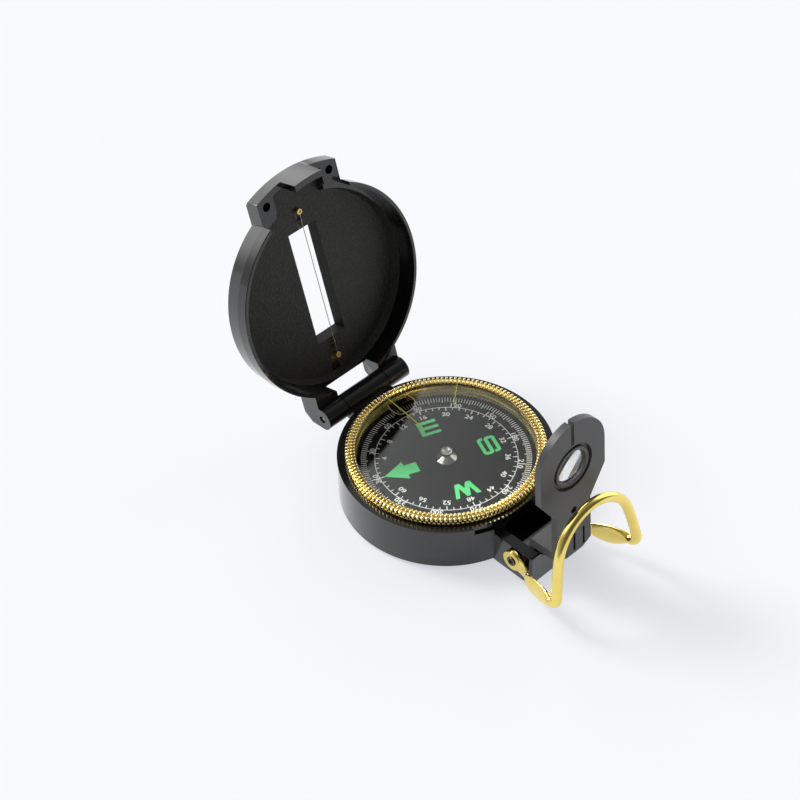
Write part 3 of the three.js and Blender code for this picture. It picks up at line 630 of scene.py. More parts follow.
# %% The bracket block
def bracket_block():
    """Two walls and a floor round a pit, with slanted ends on the walls' tops."""
    outline = [(-9.3, -20), (-9.3, -38.7), (-8.7, -39.3), (8.7, -39.3), (9.3, -38.7), (9.3, -20)]
    whole = plate("bracket", [(x, y, -1) for x, y in outline], (0, 0, 10.5))
    mouth = plate(
        "mouth",
        [(-6.2, -41, 12), (-6.2, -41, 9.5), (-4.3, -41, 7.6), (4.3, -41, 7.6), (6.2, -41, 9.5), (6.2, -41, 12)],
        (0, 3.2, 0),
    )
    nose = plate("nose", [(-12, -40, 8.9), (-12, -38.2, 9.7), (-12, -38.2, 12), (-12, -41, 12)], (24, 0, 0))
    return cut(whole, mouth, nose)


# %% [markdown]
# Two faces in one plane are the hardest case for a cut. So the cup, the bracket and the root of the hinge are
# all made too tall, joined, and only then cut level in one go. The hollow, the pit and the bores come last.

# %% The whole case
case = join_solid(case_cup(), bracket_block(), block("hinge root", (-7.1, 25.5, 10.14), (7.1, HINGE_Y, 14.4)))
cut(
    case,
    block("below the case", (-40, -50, -5), (40, 50, 0)),
    block("above the case", (-40, -50, CASE_TOP), (40, 50, 20)),
)
join_solid(case, rod("knuckle", 3.1, (-7.1, HINGE_Y, HINGE_Z), (7.1, HINGE_Y, HINGE_Z), 72))
cut(
    case,
    turned("hollow", [(0, 2.6), (25.2, 2.6), (25.2, 11.4), (26.25, 11.4), (26.25, 20), (0, 20)]),
    block("pit", (-6.2, -38.3, 1.5), (6.2, -27.3, 20)),
    rod("hinge bore", BORE, (-16, HINGE_Y, HINGE_Z), (16, HINGE_Y, HINGE_Z)),
    rod("axle bore", BORE, (-12, AXLE_Y, AXLE_Z), (12, AXLE_Y, AXLE_Z)),
)
MOULDED_EDGE = 0.14
soften(case, MOULDED_EDGE)
wear(case, "case", case_black, "case_plastic", "case_body")

# %% [markdown]
# The capsule's gold ring is the bright slope round the dial. It is a turned piece with a fine step in it,
# which breaks the reflections into bands. The capsule's crystal sits in its top, and its edge is rounded a
# little, because glass with a sharp corner shows a hard black line.

# %% The capsule's ring and crystal
capsule_ring = turned(
    "capsule_ring",
    [(23.2, 10.9), (23.3, 11.5), (23.5, 12.2), (23.62, 12.3), (23.95, 13.2), (24.08, 13.45), (24.2, 13.5)]
    + [(24.2, 14.3), (24.8, 14.3), (24.8, 10.9)],
    closed=True,
)
smooth(capsule_ring)
wear(capsule_ring, "case", satin_gold, "gold", "capsule_ring")

capsule_crystal = turned(
    "capsule_crystal", [(0, 13.5), (24.1, 13.5), (24.15, 13.6), (24.15, 14.1), (24.1, 14.2), (0, 14.2)]
)
smooth(capsule_crystal)
wear(capsule_crystal, "case", clear, "crystal", "capsule_crystal")

# %% [markdown]
# The bezel is a turned ring with a knurl for the fingers. A groove round its foot holds the snap ring. It is
# made with twice as many steps as there are ribs, so that every rib meets its facets in the same way.

# %% The bezel's turned body
RIBS = 136
bezel = turned(
    "bezel_ring",
    [(25.25, 11.8), (25.95, 11.8), (25.95, 11.95), (25.6, 11.95), (25.6, 12.85), (25.95, 12.85), (25.95, 13.75)]
    + [(25.75, 13.85), (25.75, 14.95), (25.5, 15.15), (23.9, 15.34), (23.8, 15.3), (23.8, 15.16), (24.25, 15.16)]
    + [(24.25, 14.45), (25.0, 14.4), (25.25, 14.25)],
    steps=2 * RIBS,
    closed=True,
)

# %% [markdown]
# The knurl has two rows of ribs. The outer row runs up the side and over the top, and the inner row stands on
# the top beside the lip. One rib of each row is modelled and then copied round the ring. A bump in the
# material would be quicker, but the ribs stand out against the light, so they have to be real.

# %% One rib of each row
OUTER_RIB = [(25.4, 13.8), (26.2, 13.8), (26.3, 13.95), (26.3, 15.1), (26.12, 15.42), (25.6, 15.62), (25.2, 15.45)]
INNER_RIB = [(23.8, 15.24), (23.85, 15.6), (24.0, 15.72), (24.78, 15.7), (25.0, 15.5), (25.08, 15.1)]
RIB_EDGE = 0.06


def rib(name, side, width):
    """A tooth of the knurl, drawn from the side, pushed along the ring and rounded."""
    tooth = plate(name, [(x, -width / 2, z) for x, z in side], (0, width, 0))
    edit(tooth, "EDGE")
    bpy.ops.mesh.bevel(offset=RIB_EDGE * MM, segments=1, affect="EDGES")
    leave()
    return tooth


# %% Copying the ribs round the ring
def round_the_ring(model, count):
    """Copies a model round the vertical axis, each copy with its own mesh, and joins them."""
    copies = [model]
    for index in range(1, count):
        copy = model.copy()
        copy.data = model.data.copy()
        bpy.context.collection.objects.link(copy)
        copies.append(copy)
    for index, copy in enumerate(copies):
        copy.rotation_euler.z = FULL_TURN * index / count
    select(*copies)
    bpy.ops.object.transform_apply(location=True, rotation=True, scale=True)
    bpy.ops.object.join()
    return model


outer_ribs = round_the_ring(rib("outer rib", OUTER_RIB, width=0.64), RIBS)
inner_ribs = round_the_ring(rib("inner rib", INNER_RIB, width=0.56), RIBS)
print("ribs:", 2 * RIBS, "with", len(outer_ribs.data.polygons) // RIBS, "faces on an outer one")

# %% [markdown]
# Between the ribs the top of the turned body gets a deeper gold. That deeper gold is painted shade, for the shade
# that falls between the ribs. Its faces are noted before the ribs are joined on.

# %% Joining the bezel
TOP_FROM = 15.1
painted_shade_faces = [face.index for face in bezel.data.polygons if face.center.z > TOP_FROM * MM]
bezel = gather("bezel_ring", [bezel, outer_ribs, inner_ribs])
smooth(bezel, 40)
wear(bezel, "bezel", pale_gold, "gold", "bezel_ring")
second_finish(bezel, gold_painted_shade, painted_shade_faces)
print("faces in deeper gold:", len(painted_shade_faces))

# %% [markdown]
# The bezel carries a second crystal with two index lines of yellow paint. A line could be part of a material,
# but paint lies on the glass and casts its own thin shadow on the dial, so each line is a thin raised strip.

# %% The bezel's crystal and its index lines
CRYSTAL_TOP = 15.15
bezel_crystal = turned(
    "bezel_crystal",
    [(0, 14.55), (24.15, 14.55), (24.2, 14.65), (24.2, 15.05), (24.15, CRYSTAL_TOP), (0, CRYSTAL_TOP)],
)
smooth(bezel_crystal)
wear(bezel_crystal, "bezel", clear, "crystal", "bezel_crystal")


def index_line(angle, inner, outer=24.1, width=0.24, proud=0.04):
    """A raised line of paint on the crystal, at an angle clockwise from the hinge."""
    strip = block("index line", (-width / 2, inner, CRYSTAL_TOP), (width / 2, outer, CRYSTAL_TOP + proud))
    return place(strip, Matrix.Rotation(math.radians(-angle), 4, "Z"))


index_lines = gather("index_lines", [index_line(4.6, inner=9.0), index_line(52.0, inner=16.0)])
wear(index_lines, "bezel", line_paint, "gold")

# %% [markdown]
# The dial is a thin black card that carries two scales. The magnet under it turned it, and it came to rest to
# the left of the sighting line. Every mark is drawn at the top of the dial, as on paper, and then turned to its
# angle.

# %% The dial card
DIAL_TOP = 10.7
DIAL_TURN = -68.13
card = turned(
    "dial_card",
    [(1.4, 10.2), (22.5, 10.2), (22.6, 10.3), (22.6, 10.6), (22.5, DIAL_TOP), (1.4, DIAL_TOP)],
    closed=True,
)
smooth(card)
wear(card, "dial", dial_black, "dial_black", "dial_card")


def on_dial(obj, scale_angle):
    """Turns a mark from the top of the dial to its angle on the scale, which runs clockwise."""
    return place(obj, Matrix.Rotation(math.radians(-(scale_angle + DIAL_TURN)), 4, "Z"))


# %% [markdown]
# The outer scale counts degrees, and the inner one counts the turn in 64 parts. A picture of the scales would
# blur close up. Print is paint, so each tick is a block a few hundredths of a millimetre high. All of them
# are turned first and settled together, because settling them one by one is slow.

# %% The ticks of both scales
PRINT = 0.03
PARTS = 64


def tick(angle, inner, outer, width):
    mark = block("tick", (-width / 2, inner, DIAL_TOP), (width / 2, outer, DIAL_TOP + PRINT))
    mark.rotation_euler.z = math.radians(-(angle + DIAL_TURN))
    return mark


ticks = []
for degree in range(0, 360, 2):
    inner = 20.15 if degree % 30 == 0 else 20.45 if degree % 10 == 0 else 20.85
    ticks.append(tick(degree, inner, outer=22.35, width=0.26))
for part in range(PARTS):
    inner, width = (17.35, 0.3) if part % 4 == 0 else (17.75, 0.24)
    ticks.append(tick(part * 360 / PARTS, inner, 18.7, width))
select(*ticks)
bpy.ops.object.transform_apply(location=False, rotation=True, scale=False)

# %% The ring between the scales
scale_ring = turned(
    "scale ring",
    [(18.58, DIAL_TOP), (18.78, DIAL_TOP), (18.78, DIAL_TOP + PRINT), (18.58, DIAL_TOP + PRINT)],
    closed=True,
)
print("ticks:", len(ticks))

# %% [markdown]
# The numbers are set as text in Blender's own plain face, a little wide and bold, as dial lettering is. Text
# is still a curve, so it is made a mesh first and then turned to its place on the scale.

# %% The numbers
WIDE, BOLD = 1.12, 0.045


def number(text, scale_angle, radius, size):
    deselect()
    bpy.ops.object.text_add(location=(0, radius * MM, DIAL_TOP * MM))
    words = bpy.context.object
    words.data.body = text
    words.data.size = size * MM
    words.data.align_x, words.data.align_y = "CENTER", "CENTER"
    words.data.offset = BOLD * MM
    words.data.extrude = PRINT / 2 * MM
    words.data.resolution_u = 3
    words.scale.x = WIDE
    bpy.ops.object.convert(target="MESH")
    edit(words)
    tidy_mesh()
    return on_dial(words, scale_angle)


numbers = [number(str(part), part * 360 / PARTS, radius=16.0, size=1.95) for part in range(4, PARTS, 4)]
numbers += [number(str(degree), degree, radius=19.4, size=2.0) for degree in range(30, 361, 30)]
print("numbers:", len(numbers))
white_marks = gather("dial_print_white", ticks + [scale_ring] + numbers)
wear(white_marks, "dial", white_print, "dial_black")

# %% [markdown]
# North is an arrow, and the other three quarters are letters in green paint. The letters are heavier and
# squarer than any text face, so each is drawn by its own outline.

# %% The arrow and the three letters
def sign(name, outline, scale_angle):
    flat = plate(name, [(x, y, DIAL_TOP) for x, y in outline], (0, 0, PRINT))
    return on_dial(flat, scale_angle)


arrow = [(0, 17.4), (-3.2, 11.4), (-1.75, 11.35), (-1.75, 8.0), (1.75, 8.0), (1.75, 11.35), (3.2, 11.4)]
east = [(-2.75, 9.35), (2.7, 9.35), (2.7, 10.35), (-1.5, 10.35), (-1.5, 11.45), (2.7, 11.45), (2.7, 12.5)]
east += [(-1.5, 12.5), (-1.5, 13.55), (2.7, 13.55), (2.7, 14.6), (-2.75, 14.6)]
south = [(-2.9, 11.2), (-2.9, 10.2), (-2.3, 9.55), (2.8, 9.55), (3.4, 10.2), (3.4, 11.9), (2.8, 12.5)]
south += [(-1.95, 12.5), (-1.95, 13.5), (2.3, 13.5), (2.3, 12.75), (3.2, 12.75), (3.2, 13.85), (2.6, 14.5)]
south += [(-2.3, 14.5), (-2.9, 13.85), (-2.9, 12.1), (-2.3, 11.5), (2.4, 11.5), (2.4, 10.5), (-2.0, 10.5)]
south += [(-2.0, 11.2)]
west = [(-3.55, 14.8), (-2.15, 9.95), (-0.95, 9.95), (0, 11.95), (0.75, 9.95), (2.05, 9.95), (3.5, 14.8)]
west += [(2.4, 14.85), (1.38, 11.6), (0.4, 14.85), (-0.6, 14.8), (-1.4, 11.9), (-2.35, 14.8)]
green_marks = gather(
    "dial_print_green",
    [sign("arrow", arrow, 0), sign("east", east, 90), sign("south", south, 180), sign("west", west, 270)],
)
wear(green_marks, "dial", green_print, "dial_black")

# %% [markdown]
# The hub is a bright turned button over a cone, with a bore below that holds the jewel. The jewel rides on
# the needle. At this size 72 steps are round enough.

# %% The hub
hub = turned(
    "dial_hub",
    [(0, 13.1), (0.75, 13.08), (1.05, 13.28), (1.5, 13.3), (1.6, 13.15), (1.6, 12.75), (1.15, 12.45), (1.15, 11.9)]
    + [(2.6, 10.95), (2.75, 10.85), (2.75, 10.7), (1.3, 10.7), (1.3, 10.2), (0.83, 10.2), (0.83, 12.15)]
    + [(0, 12.15)],
    steps=72,
)
smooth(hub, 30)
wear(hub, "dial", bright_steel, "bright_steel", "dial_hub")

# %% [markdown]
# An air bubble has gathered in the capsule's liquid, under the crystal by the hinge. Its edge catches the light as a
# bright line, so a thin pale bead follows its outline, and the bead's colour is a painted highlight. A bead could be
# swept by hand, but a smooth curve with a round section is the plain tool for it.

# %% The bubble's edge
bubble_outline = [(0.9, 22.9), (0.3, 21.2), (0.1, 19.4), (0.8, 17.9), (3.1, 17.3), (5.2, 17.3), (7.2, 18.4)]
bubble_outline += [(7.6, 20.2), (7.4, 21.9)]


def bead_along(name, points, radius, z):
    """A round bead with capped ends along a smooth curve that the points pull on."""
    deselect()
    bpy.ops.curve.primitive_nurbs_path_add()
    curve = bpy.context.object
    curve.name = name
    spline = curve.data.splines[0]
    spline.points.add(len(points) - len(spline.points))
    for point, (x, y) in zip(spline.points, points):
        point.co = (x * MM, y * MM, z * MM, 1)
    spline.order_u, spline.use_endpoint_u = 4, True
    curve.data.bevel_depth = radius * MM
    curve.data.bevel_resolution = 2
    curve.data.resolution_u = 8
    curve.data.use_fill_caps = True
    bpy.ops.object.convert(target="MESH")
    edit(curve)
    tidy_mesh()
    return settle(curve)


bubble = bead_along("air_bubble", bubble_outline, 0.15, 13.3)
smooth(bubble, 60)
wear(bubble, "case", bubble_edge_highlight, "crystal")

# %% [markdown]
# Inside its edge a bubble bends the light, so the dial looks darker through it, and darkest at the side by the hinge.
# Two tinted films of glass, one above the other, give that tone as painted shade.

# %% The bubble's film and its shade
BUBBLE_X, BUBBLE_Y, INSIDE_EDGE = 4.0, 20.2, 0.97
FILM = 0.03


def tinted_film(name, outline, z, glass):
    film = plate(name, [(x, y, z) for x, y in outline], (0, 0, FILM))
    smooth(film)
    return wear(film, "case", glass, "crystal")


film_outline = [
    (BUBBLE_X + (x - BUBBLE_X) * INSIDE_EDGE, BUBBLE_Y + (y - BUBBLE_Y) * INSIDE_EDGE) for x, y in bubble_outline
]
tinted_film("bubble_film", film_outline, 13.22, bubble_painted_dimming)
shade_outline = [(0.35, 20.6), (0.95, 22.7), (3.9, 22.6), (7.3, 21.7), (5.6, 20.9), (3.6, 21.1)]
tinted_film("bubble_shade", shade_outline, 13.16, bubble_painted_shade_glass)

# %% [markdown]
# The cover is modelled closed, lying over the case, where its shape is simple to describe, and then turned
# open about its hinge. Its lip fits round the bezel. Heights are counted as if it lay closed, so its inner
# floor is above its rim.

# %% The cover's shell
COVER_FLOOR, COVER_TOP = 20.3, 24.5
HOOD_SIDE = 13.4


def cover_shell():
    """The solid disc that the inside is cut from, open at the front for the hood."""
    disc = turned(
        "cover",
        [(0, COVER_TOP), (22, COVER_TOP), (26.6, 22.6), (28.4, 21.7), (28.75, 17.35), (28.8, 17.2), (29.0, 17.0)]
        + [(29.0, 13.85), (28.85, 13.7), (0, 13.7)],
    )
    return cut(disc, block("hood room", (-HOOD_SIDE, -36, 3.7), (HOOD_SIDE, -12.8, 17.2)))


# %% [markdown]
# The hood in front covers the eyepiece's stem, and a tongue hangs from its middle. Both follow the round of
# the cover, so each starts as a whole turned ring, and only the part inside a block is kept. The hinge arms
# are plates with a barrel, one on each side of the case's knuckle.

# %% The hood, the tongue and the hinge arms
ARM_NEAR, ARM_FAR = 7.4, 14.5


def hood():
    body = turned("hood", [(0, 17.2), (34.5, 17.2), (34.5, 21.0), (33.5, 22.0), (0, 22.0)])
    return overlap(body, block("hood front", (-HOOD_SIDE, -36, 16), (HOOD_SIDE, -13, 23)))


def hinge_arm(side):
    """One arm, to the left for a side of -1 and to the right for 1."""
    near, far = sorted((side * ARM_NEAR, side * ARM_FAR))
    outline = [(22.7, 13.7), (30.25, 13.7), (34.9, HINGE_Z), (34.03, 18.04), (31.4, 20.4), (22.7, 20.4)]
    arm = plate("arm", [(near, y, z) for y, z in outline], (far - near, 0, 0))
    return join_solid(arm, rod("arm barrel", 3.1, (near, HINGE_Y, HINGE_Z), (far, HINGE_Y, HINGE_Z), 72))


def tongue():
    wall = turned("tongue", [(32.6, 11.5), (34.5, 11.5), (34.5, 21.0), (32.6, 21.0)], closed=True)
    sides = plate("sides", [(-4.55, -36, 10), (4.55, -36, 10), (4.9, -36, 21.3), (-4.9, -36, 21.3)], (0, 10, 0))
    return overlap(wall, sides)


# %% The studs beside the slot
STUD_FRONT, STUD_REAR = -19.7, 17.75
STUD_RADIUS = 1.05


def stud(y):
    """A small domed button on the inner floor."""
    dome = [(0, 19.85), (0.55, 19.9), (0.95, 20.1), (STUD_RADIUS, 20.25), (STUD_RADIUS, 20.6), (0, 20.6)]
    return place(turned("stud", dome, 32), Matrix.Translation((0, y * MM, 0)))


# %% [markdown]
# The inside is cut with a turned shape that has the ledge and the sloped wall in its profile. Then come the
# channel under the hood, the sighting slot, the room for the knuckle and the window behind it. The studs are
# joined last, because the cut for the inside would take them away.

# %% Joining and cutting the cover
SLOT_SIDE, SLOT_FRONT, SLOT_REAR = 4.7, -17.4, 15.8
cover = join_solid(cover_shell(), hood(), tongue(), hinge_arm(-1), hinge_arm(1))
channel = turned("channel", [(0, 3.7), (32.8, 3.7), (32.8, COVER_FLOOR), (0, COVER_FLOOR)])
overlap(channel, block("channel sides", (-8.1, -40, 0), (8.1, -12.8, 21)))
cut(
    cover,
    turned("inside", [(0, 3.7), (28.0, 3.7), (28.0, 17.9), (26.5, 17.9), (25.7, COVER_FLOOR), (0, COVER_FLOOR)]),
    channel,
    block("sighting slot", (-SLOT_SIDE, SLOT_FRONT, 19), (SLOT_SIDE, SLOT_REAR, 26)),
    rod("knuckle room", 3.35, (-ARM_NEAR, HINGE_Y, HINGE_Z), (ARM_NEAR, HINGE_Y, HINGE_Z), 72),
    block("hinge window", (-ARM_NEAR, 26.8, 3.7), (ARM_NEAR, HINGE_Y + 3.1, COVER_FLOOR + 0.1)),
    rod("arm bore", BORE, (-16, HINGE_Y, HINGE_Z), (16, HINGE_Y, HINGE_Z)),
    rod("left hole", 1.2, (-10.66, -29.9, 16), (-10.66, -29.9, 19.2)),
    rod("right hole", 1.2, (10.66, -29.9, 16), (10.66, -29.9, 19.2)),
)
join_solid(cover, stud(STUD_FRONT), stud(STUD_REAR))
merge_flats(cover)
soften(cover, MOULDED_EDGE)

# %% [markdown]
# Only the inner floor is sandblasted. The slot's walls are smooth, and they get a darker black that is painted shade,
# for the shade they stay in. One mesh can wear several materials, each on its own faces. The faces are picked by
# their place and normal while the cover still lies closed, where the test is a plain one.

# %% Which faces are sandy, and which are in the slot
FLOOR_RADIUS, LEDGE_HEIGHT = 26.4, 17.9
SAND_TOP = COVER_FLOOR + 0.2


def is_inside(face):
    x, y, z = (value / MM for value in face.center)
    near_stud = min(abs(y - STUD_FRONT), abs(y - STUD_REAR)) < STUD_RADIUS + 0.05
    on_stud = abs(x) < STUD_RADIUS + 0.05 and near_stud
    on_floor = math.hypot(x, y) < FLOOR_RADIUS and LEDGE_HEIGHT < z < SAND_TOP and abs(face.normal.z) > 0.3
    return on_floor and not on_stud


def is_in_slot(face):
    x, y, z = (value / MM for value in face.center)
    within = abs(x) < SLOT_SIDE + 0.05 and SLOT_FRONT - 0.1 < y < SLOT_REAR + 0.1
    return within and z > SAND_TOP and abs(face.normal.z) < 0.5


inside_faces = [face.index for face in cover.data.polygons if is_inside(face)]
slot_faces = [face.index for face in cover.data.polygons if is_in_slot(face)]
print("sandy faces:", len(inside_faces), "and faces in the slot:", len(slot_faces))

# %% [markdown]
# To open the cover about its hinge, the hinge is moved to the origin, the cover is turned there, and all is
# moved back. The same matrix later opens the wire and its pins, which are also drawn closed.

# %% Opening the cover
hinge_point = Vector((0, HINGE_Y, HINGE_Z)) * MM
opening = (
    Matrix.Translation(hinge_point)
    @ Matrix.Rotation(math.radians(-COVER_OPENING), 4, "X")
    @ Matrix.Translation(-hinge_point)
)
place(cover, opening)
wear(cover, "cover", case_black, "case_plastic", "cover")
second_finish(cover, sand_black, inside_faces)
second_finish(cover, slot_painted_shade, slot_faces, index=2)

# %% [markdown]
# The sighting wire runs down the middle of the slot, between two small brass pins. Each pin is a rivet whose
# head stands a little proud of the inner floor, so it is turned from its profile.

# %% The sighting wire and its pins
def wire_pin(name, y):
    """A rivet at a distance from the compass's middle, counted with the cover closed."""
    pin = turned(
        name,
        [(0, 19.6), (0.3, 19.6), (0.42, 19.3), (0.75, 19.3), (0.85, 19.42), (0.85, 20.3), (0.5, 20.3), (0.5, 22.3)]
        + [(0, 22.3)],
        32,
    )
    return smooth(place(pin, opening @ Matrix.Translation((0, y * MM, 0))))


wear(wire_pin("wire_pin_front", -22.5), "cover", brass, "brass", "wire_pin_front")
wear(wire_pin("wire_pin_rear", 21.5), "cover", brass, "brass", "wire_pin_rear")
wire = place(rod("sighting_wire", 0.1, (0, -21.6, 19.65), (0, 20.6, 19.65), 12), opening)
smooth(wire, 60)
wear(wire, "cover", dark_wire, "brass", "sighting_wire")

# %% [markdown]
# The hinge pin is a steel rod with slightly domed ends, which show in the ends of the arms. It is turned
# upright like every lathe piece, and then laid along the hinge.

# %% The hinge pin
def hinge_rod(name, half, radius, dome):
    """A pin along X with a small dome on each end."""
    end = [(radius, half - dome), (radius * 0.6, half - dome * 0.3), (0, half)]
    profile = [(r, -z) for r, z in reversed(end)] + end
    return place(turned(name, profile, 40), Matrix.Rotation(math.pi / 2, 4, "Y"))


hinge_pin = place(hinge_rod("cover_hinge_pin", half=14.2, radius=0.9, dome=0.4), Matrix.Translation(hinge_point))
smooth(hinge_pin)
wear(hinge_pin, "case", steel, "steel", "cover_hinge_pin")

# %% [markdown]
# The eyepiece is a flat plate on a foot. It is drawn upright about its axle, and then leaned towards the
# case, as it stands in use. The plate's round top is a half circle of short edges, and its sides step in to a
# narrow stem.

# %% The eyepiece's plate and foot
axle_point = Vector((0, AXLE_Y, AXLE_Z)) * MM
lean = Matrix.Translation(axle_point) @ Matrix.Rotation(math.radians(-EYEPIECE_LEAN), 4, "X")
PLATE_BACK, PLATE_FRONT = -9.6, -11.6
CROWN_RADIUS, CROWN_HEIGHT, CROWN_STEPS = 11.3, 35.2, 40


def eyepiece_plate():
    right = [(2.9, 3.0), (6.0, 4.5), (6.0, 18.6), (CROWN_RADIUS, 26.6), (CROWN_RADIUS, CROWN_HEIGHT)]
    crown = []
    for step in range(1, CROWN_STEPS):
        a = math.pi * step / CROWN_STEPS
        crown.append((CROWN_RADIUS * math.cos(a), CROWN_HEIGHT + CROWN_RADIUS * math.sin(a)))
    left = [(-x, z) for x, z in reversed(right)]
    outline = [(x, PLATE_FRONT, z) for x, z in right + crown + left]
    return plate("eyepiece_arm", outline, (0, PLATE_BACK - PLATE_FRONT, 0))


def eyepiece_foot():
    side = [(-10.5, 3.4), (-10.5, 6.1), (-2.4, 6.1), (-1.8, 5.5), (-1.8, 0), (-2.2, 0), (-2.2, 2.0), (-3.7, 3.4)]
    foot = plate("foot", [(-5.93, y, z) for y, z in side], (11.86, 0, 0))
    return join_solid(foot, rod("foot barrel", 2.2, (-5.95, 0, 0), (5.95, 0, 0), 60))


# %% [markdown]
# The lens, its ring and the seat in the plate are all turned about one axis, square to the plate. They are
# drawn with depths counted from the plate's front, so that the three profiles can be checked by eye.

# %% Turning about the lens's axis
LENS_HEIGHT = 32.4


def through_lens(name, profile, steps=96):
    """A shape turned about the lens's axis, with depths counted from the plate's front."""
    shape = turned(name, [(r, -depth) for r, depth in profile], steps, closed=profile[0][0] > 0)
    facing = Matrix.Translation((0, PLATE_FRONT * MM, LENS_HEIGHT * MM)) @ Matrix.Rotation(math.pi / 2, 4, "X")
    return place(shape, facing)


# %% [markdown]
# The plate has a sighting notch at its top, a stepped seat for the lens, a small hole in its stem and three
# short grooves at its lower end. Each groove is a block with a round end. The plate's back is one large flat
# face, where the smallest flaw shows, so gaps are closed before the bevel, and slivers cleared after it.

# %% Cutting the eyepiece
eyepiece = join_solid(eyepiece_plate(), eyepiece_foot())
close_gaps(eyepiece)
cut(
    eyepiece,
    block("notch", (-0.55, -13, 39.6), (0.55, -8, 50)),
    through_lens(
        "lens seat",
        [(0, -1), (6.7, -1), (6.7, 0), (6.45, 0.95), (5.0, 0.95), (5.0, 1.65), (4.3, 1.65), (4.3, 3), (0, 3)],
    ),
    rod("stem hole", 1.0, (0, -13, 18.0), (0, -10.8, 18.0)),
    rod("axle hole", BORE, (-8, 0, 0), (8, 0, 0)),
)

# %% The grooves, and rounding the eyepiece
GROOVE_HALF, GROOVE_TOP, GROOVE_FLOOR = 0.35, 9.65, -10.8
for x in (-3.4, 0, 3.4):
    groove = block("groove", (x - GROOVE_HALF, -13, 4.0), (x + GROOVE_HALF, GROOVE_FLOOR, GROOVE_TOP))
    join_solid(groove, rod("groove end", GROOVE_HALF, (x, -13, GROOVE_TOP), (x, GROOVE_FLOOR, GROOVE_TOP), 24))
    cut(eyepiece, groove)
close_gaps(eyepiece)
soften(eyepiece, 0.13, slivers=0.01)
place(eyepiece, lean)
wear(eyepiece, "eyepiece", eyepiece_black, "eyepiece_black", "eyepiece_arm")

# %% [markdown]
# The lens bulges a little towards the eye, so its front is a shallow curve of points. A thin black ring, with
# its inner edge chamfered, holds it in its seat.

# %% The lens and its ring
lens_profile = [(0, 0.7), (1.5, 0.72), (3.0, 0.79), (4.3, 0.88), (4.8, 0.93), (4.9, 1.0), (4.9, 1.5), (4.8, 1.55)]
lens = smooth(place(through_lens("eyepiece_lens", lens_profile + [(0, 1.55)]), lean))
wear(lens, "eyepiece", lens_glass, "crystal", "eyepiece_lens")
ring_profile = [(4.6, 0.98), (5.75, 0.98), (5.75, 0.22), (5.6, 0.08), (4.95, 0.08), (4.75, 0.2)]
lens_ring = smooth(place(through_lens("lens_retaining_ring", ring_profile), lean))
wear(lens_ring, "eyepiece", eyepiece_black, "eyepiece_black", "lens_retaining_ring")

# %% [markdown]
# One axle carries the eyepiece and the thumb loop. Its ends are peened over into flat round heads with a
# dimple, as a rivet's are.

# %% The axle
head = [(0, 10.6), (0.55, 10.65), (0.72, 11.2), (0.85, 11.3), (1.1, 11.3), (1.3, 11.15), (1.35, 11.0), (0.9, 11.0)]
axle = turned("bracket_axle", head + [(r, -z) for r, z in reversed(head)], 48)
place(axle, Matrix.Rotation(math.pi / 2, 4, "Y"))
smooth(place(axle, Matrix.Translation(axle_point)))
wear(axle, "case", dark_steel, "steel", "bracket_axle")

# %% [markdown]
# The thumb loop is one length of gold wire, flattened into a blade on each side and punched into an ear. A
# curve with a round bevel would make a wire, but not its flat blades. So the loop is swept by stations: each
# has a centre, half a height, half a thickness and the two directions that the wire's section spans.

# %% The loop's flattened side
WIRE, BLADE = 1.35, 0.65
EAR_X, SIDE_X = 10.25, 14.6
BEND, ARCH, LOOP_HEIGHT = 2.4, 13.0, 23.3
LOOP_CORNER_Y, LOOP_CORNER_Z = AXLE_Y - 19.0, AXLE_Z + 1.6
LOOP_LEAN = math.radians(9)
ACROSS, UP = Vector((1, 0, 0)), Vector((0, 0, 1))


def blade_stations():
    """From the ear, past a narrow neck, along the blade, which swells and thickens into round wire."""
    start = Vector((EAR_X, AXLE_Y - 1.2, AXLE_Z - 0.1))
    neck = Vector((12.0, AXLE_Y - 6.2, AXLE_Z - 0.6))
    end = Vector((SIDE_X, LOOP_CORNER_Y + BEND, LOOP_CORNER_Z))
    stations = [
        (start, 2.62, BLADE, UP, ACROSS),
        (Vector((10.3, -37.6, 5.75)), 2.5, BLADE, UP, ACROSS),
        (Vector((10.7, -38.8, 5.6)), 2.1, 0.62, UP, ACROSS),
        (Vector((11.3, -39.6, 5.55)), 1.5, 0.62, UP, ACROSS),
    ]
    for i in range(17):
        t = i / 16
        swell = math.sin(math.pi * min(1, t * 0.94 + 0.06)) ** 0.6
        thickness = BLADE + (WIRE - BLADE) * t**3
        stations.append((neck.lerp(end, t) - UP * 0.5 * swell, WIRE + 1.75 * swell, thickness, UP, ACROSS))
    return stations


# %% The loop's bend and its round top
def bend_stations():
    """Round the bend, from lying to standing, in ten short turns."""
    stations = []
    for i in range(1, 11):
        a = (math.pi / 2 + LOOP_LEAN) * i / 10
        back, lift = BEND * (1 - math.sin(a)), BEND * (1 - math.cos(a))
        centre = Vector((SIDE_X, LOOP_CORNER_Y + back, LOOP_CORNER_Z + lift))
        stations.append((centre, WIRE, WIRE, Vector((0, math.sin(a), math.cos(a))), ACROSS))
    return stations


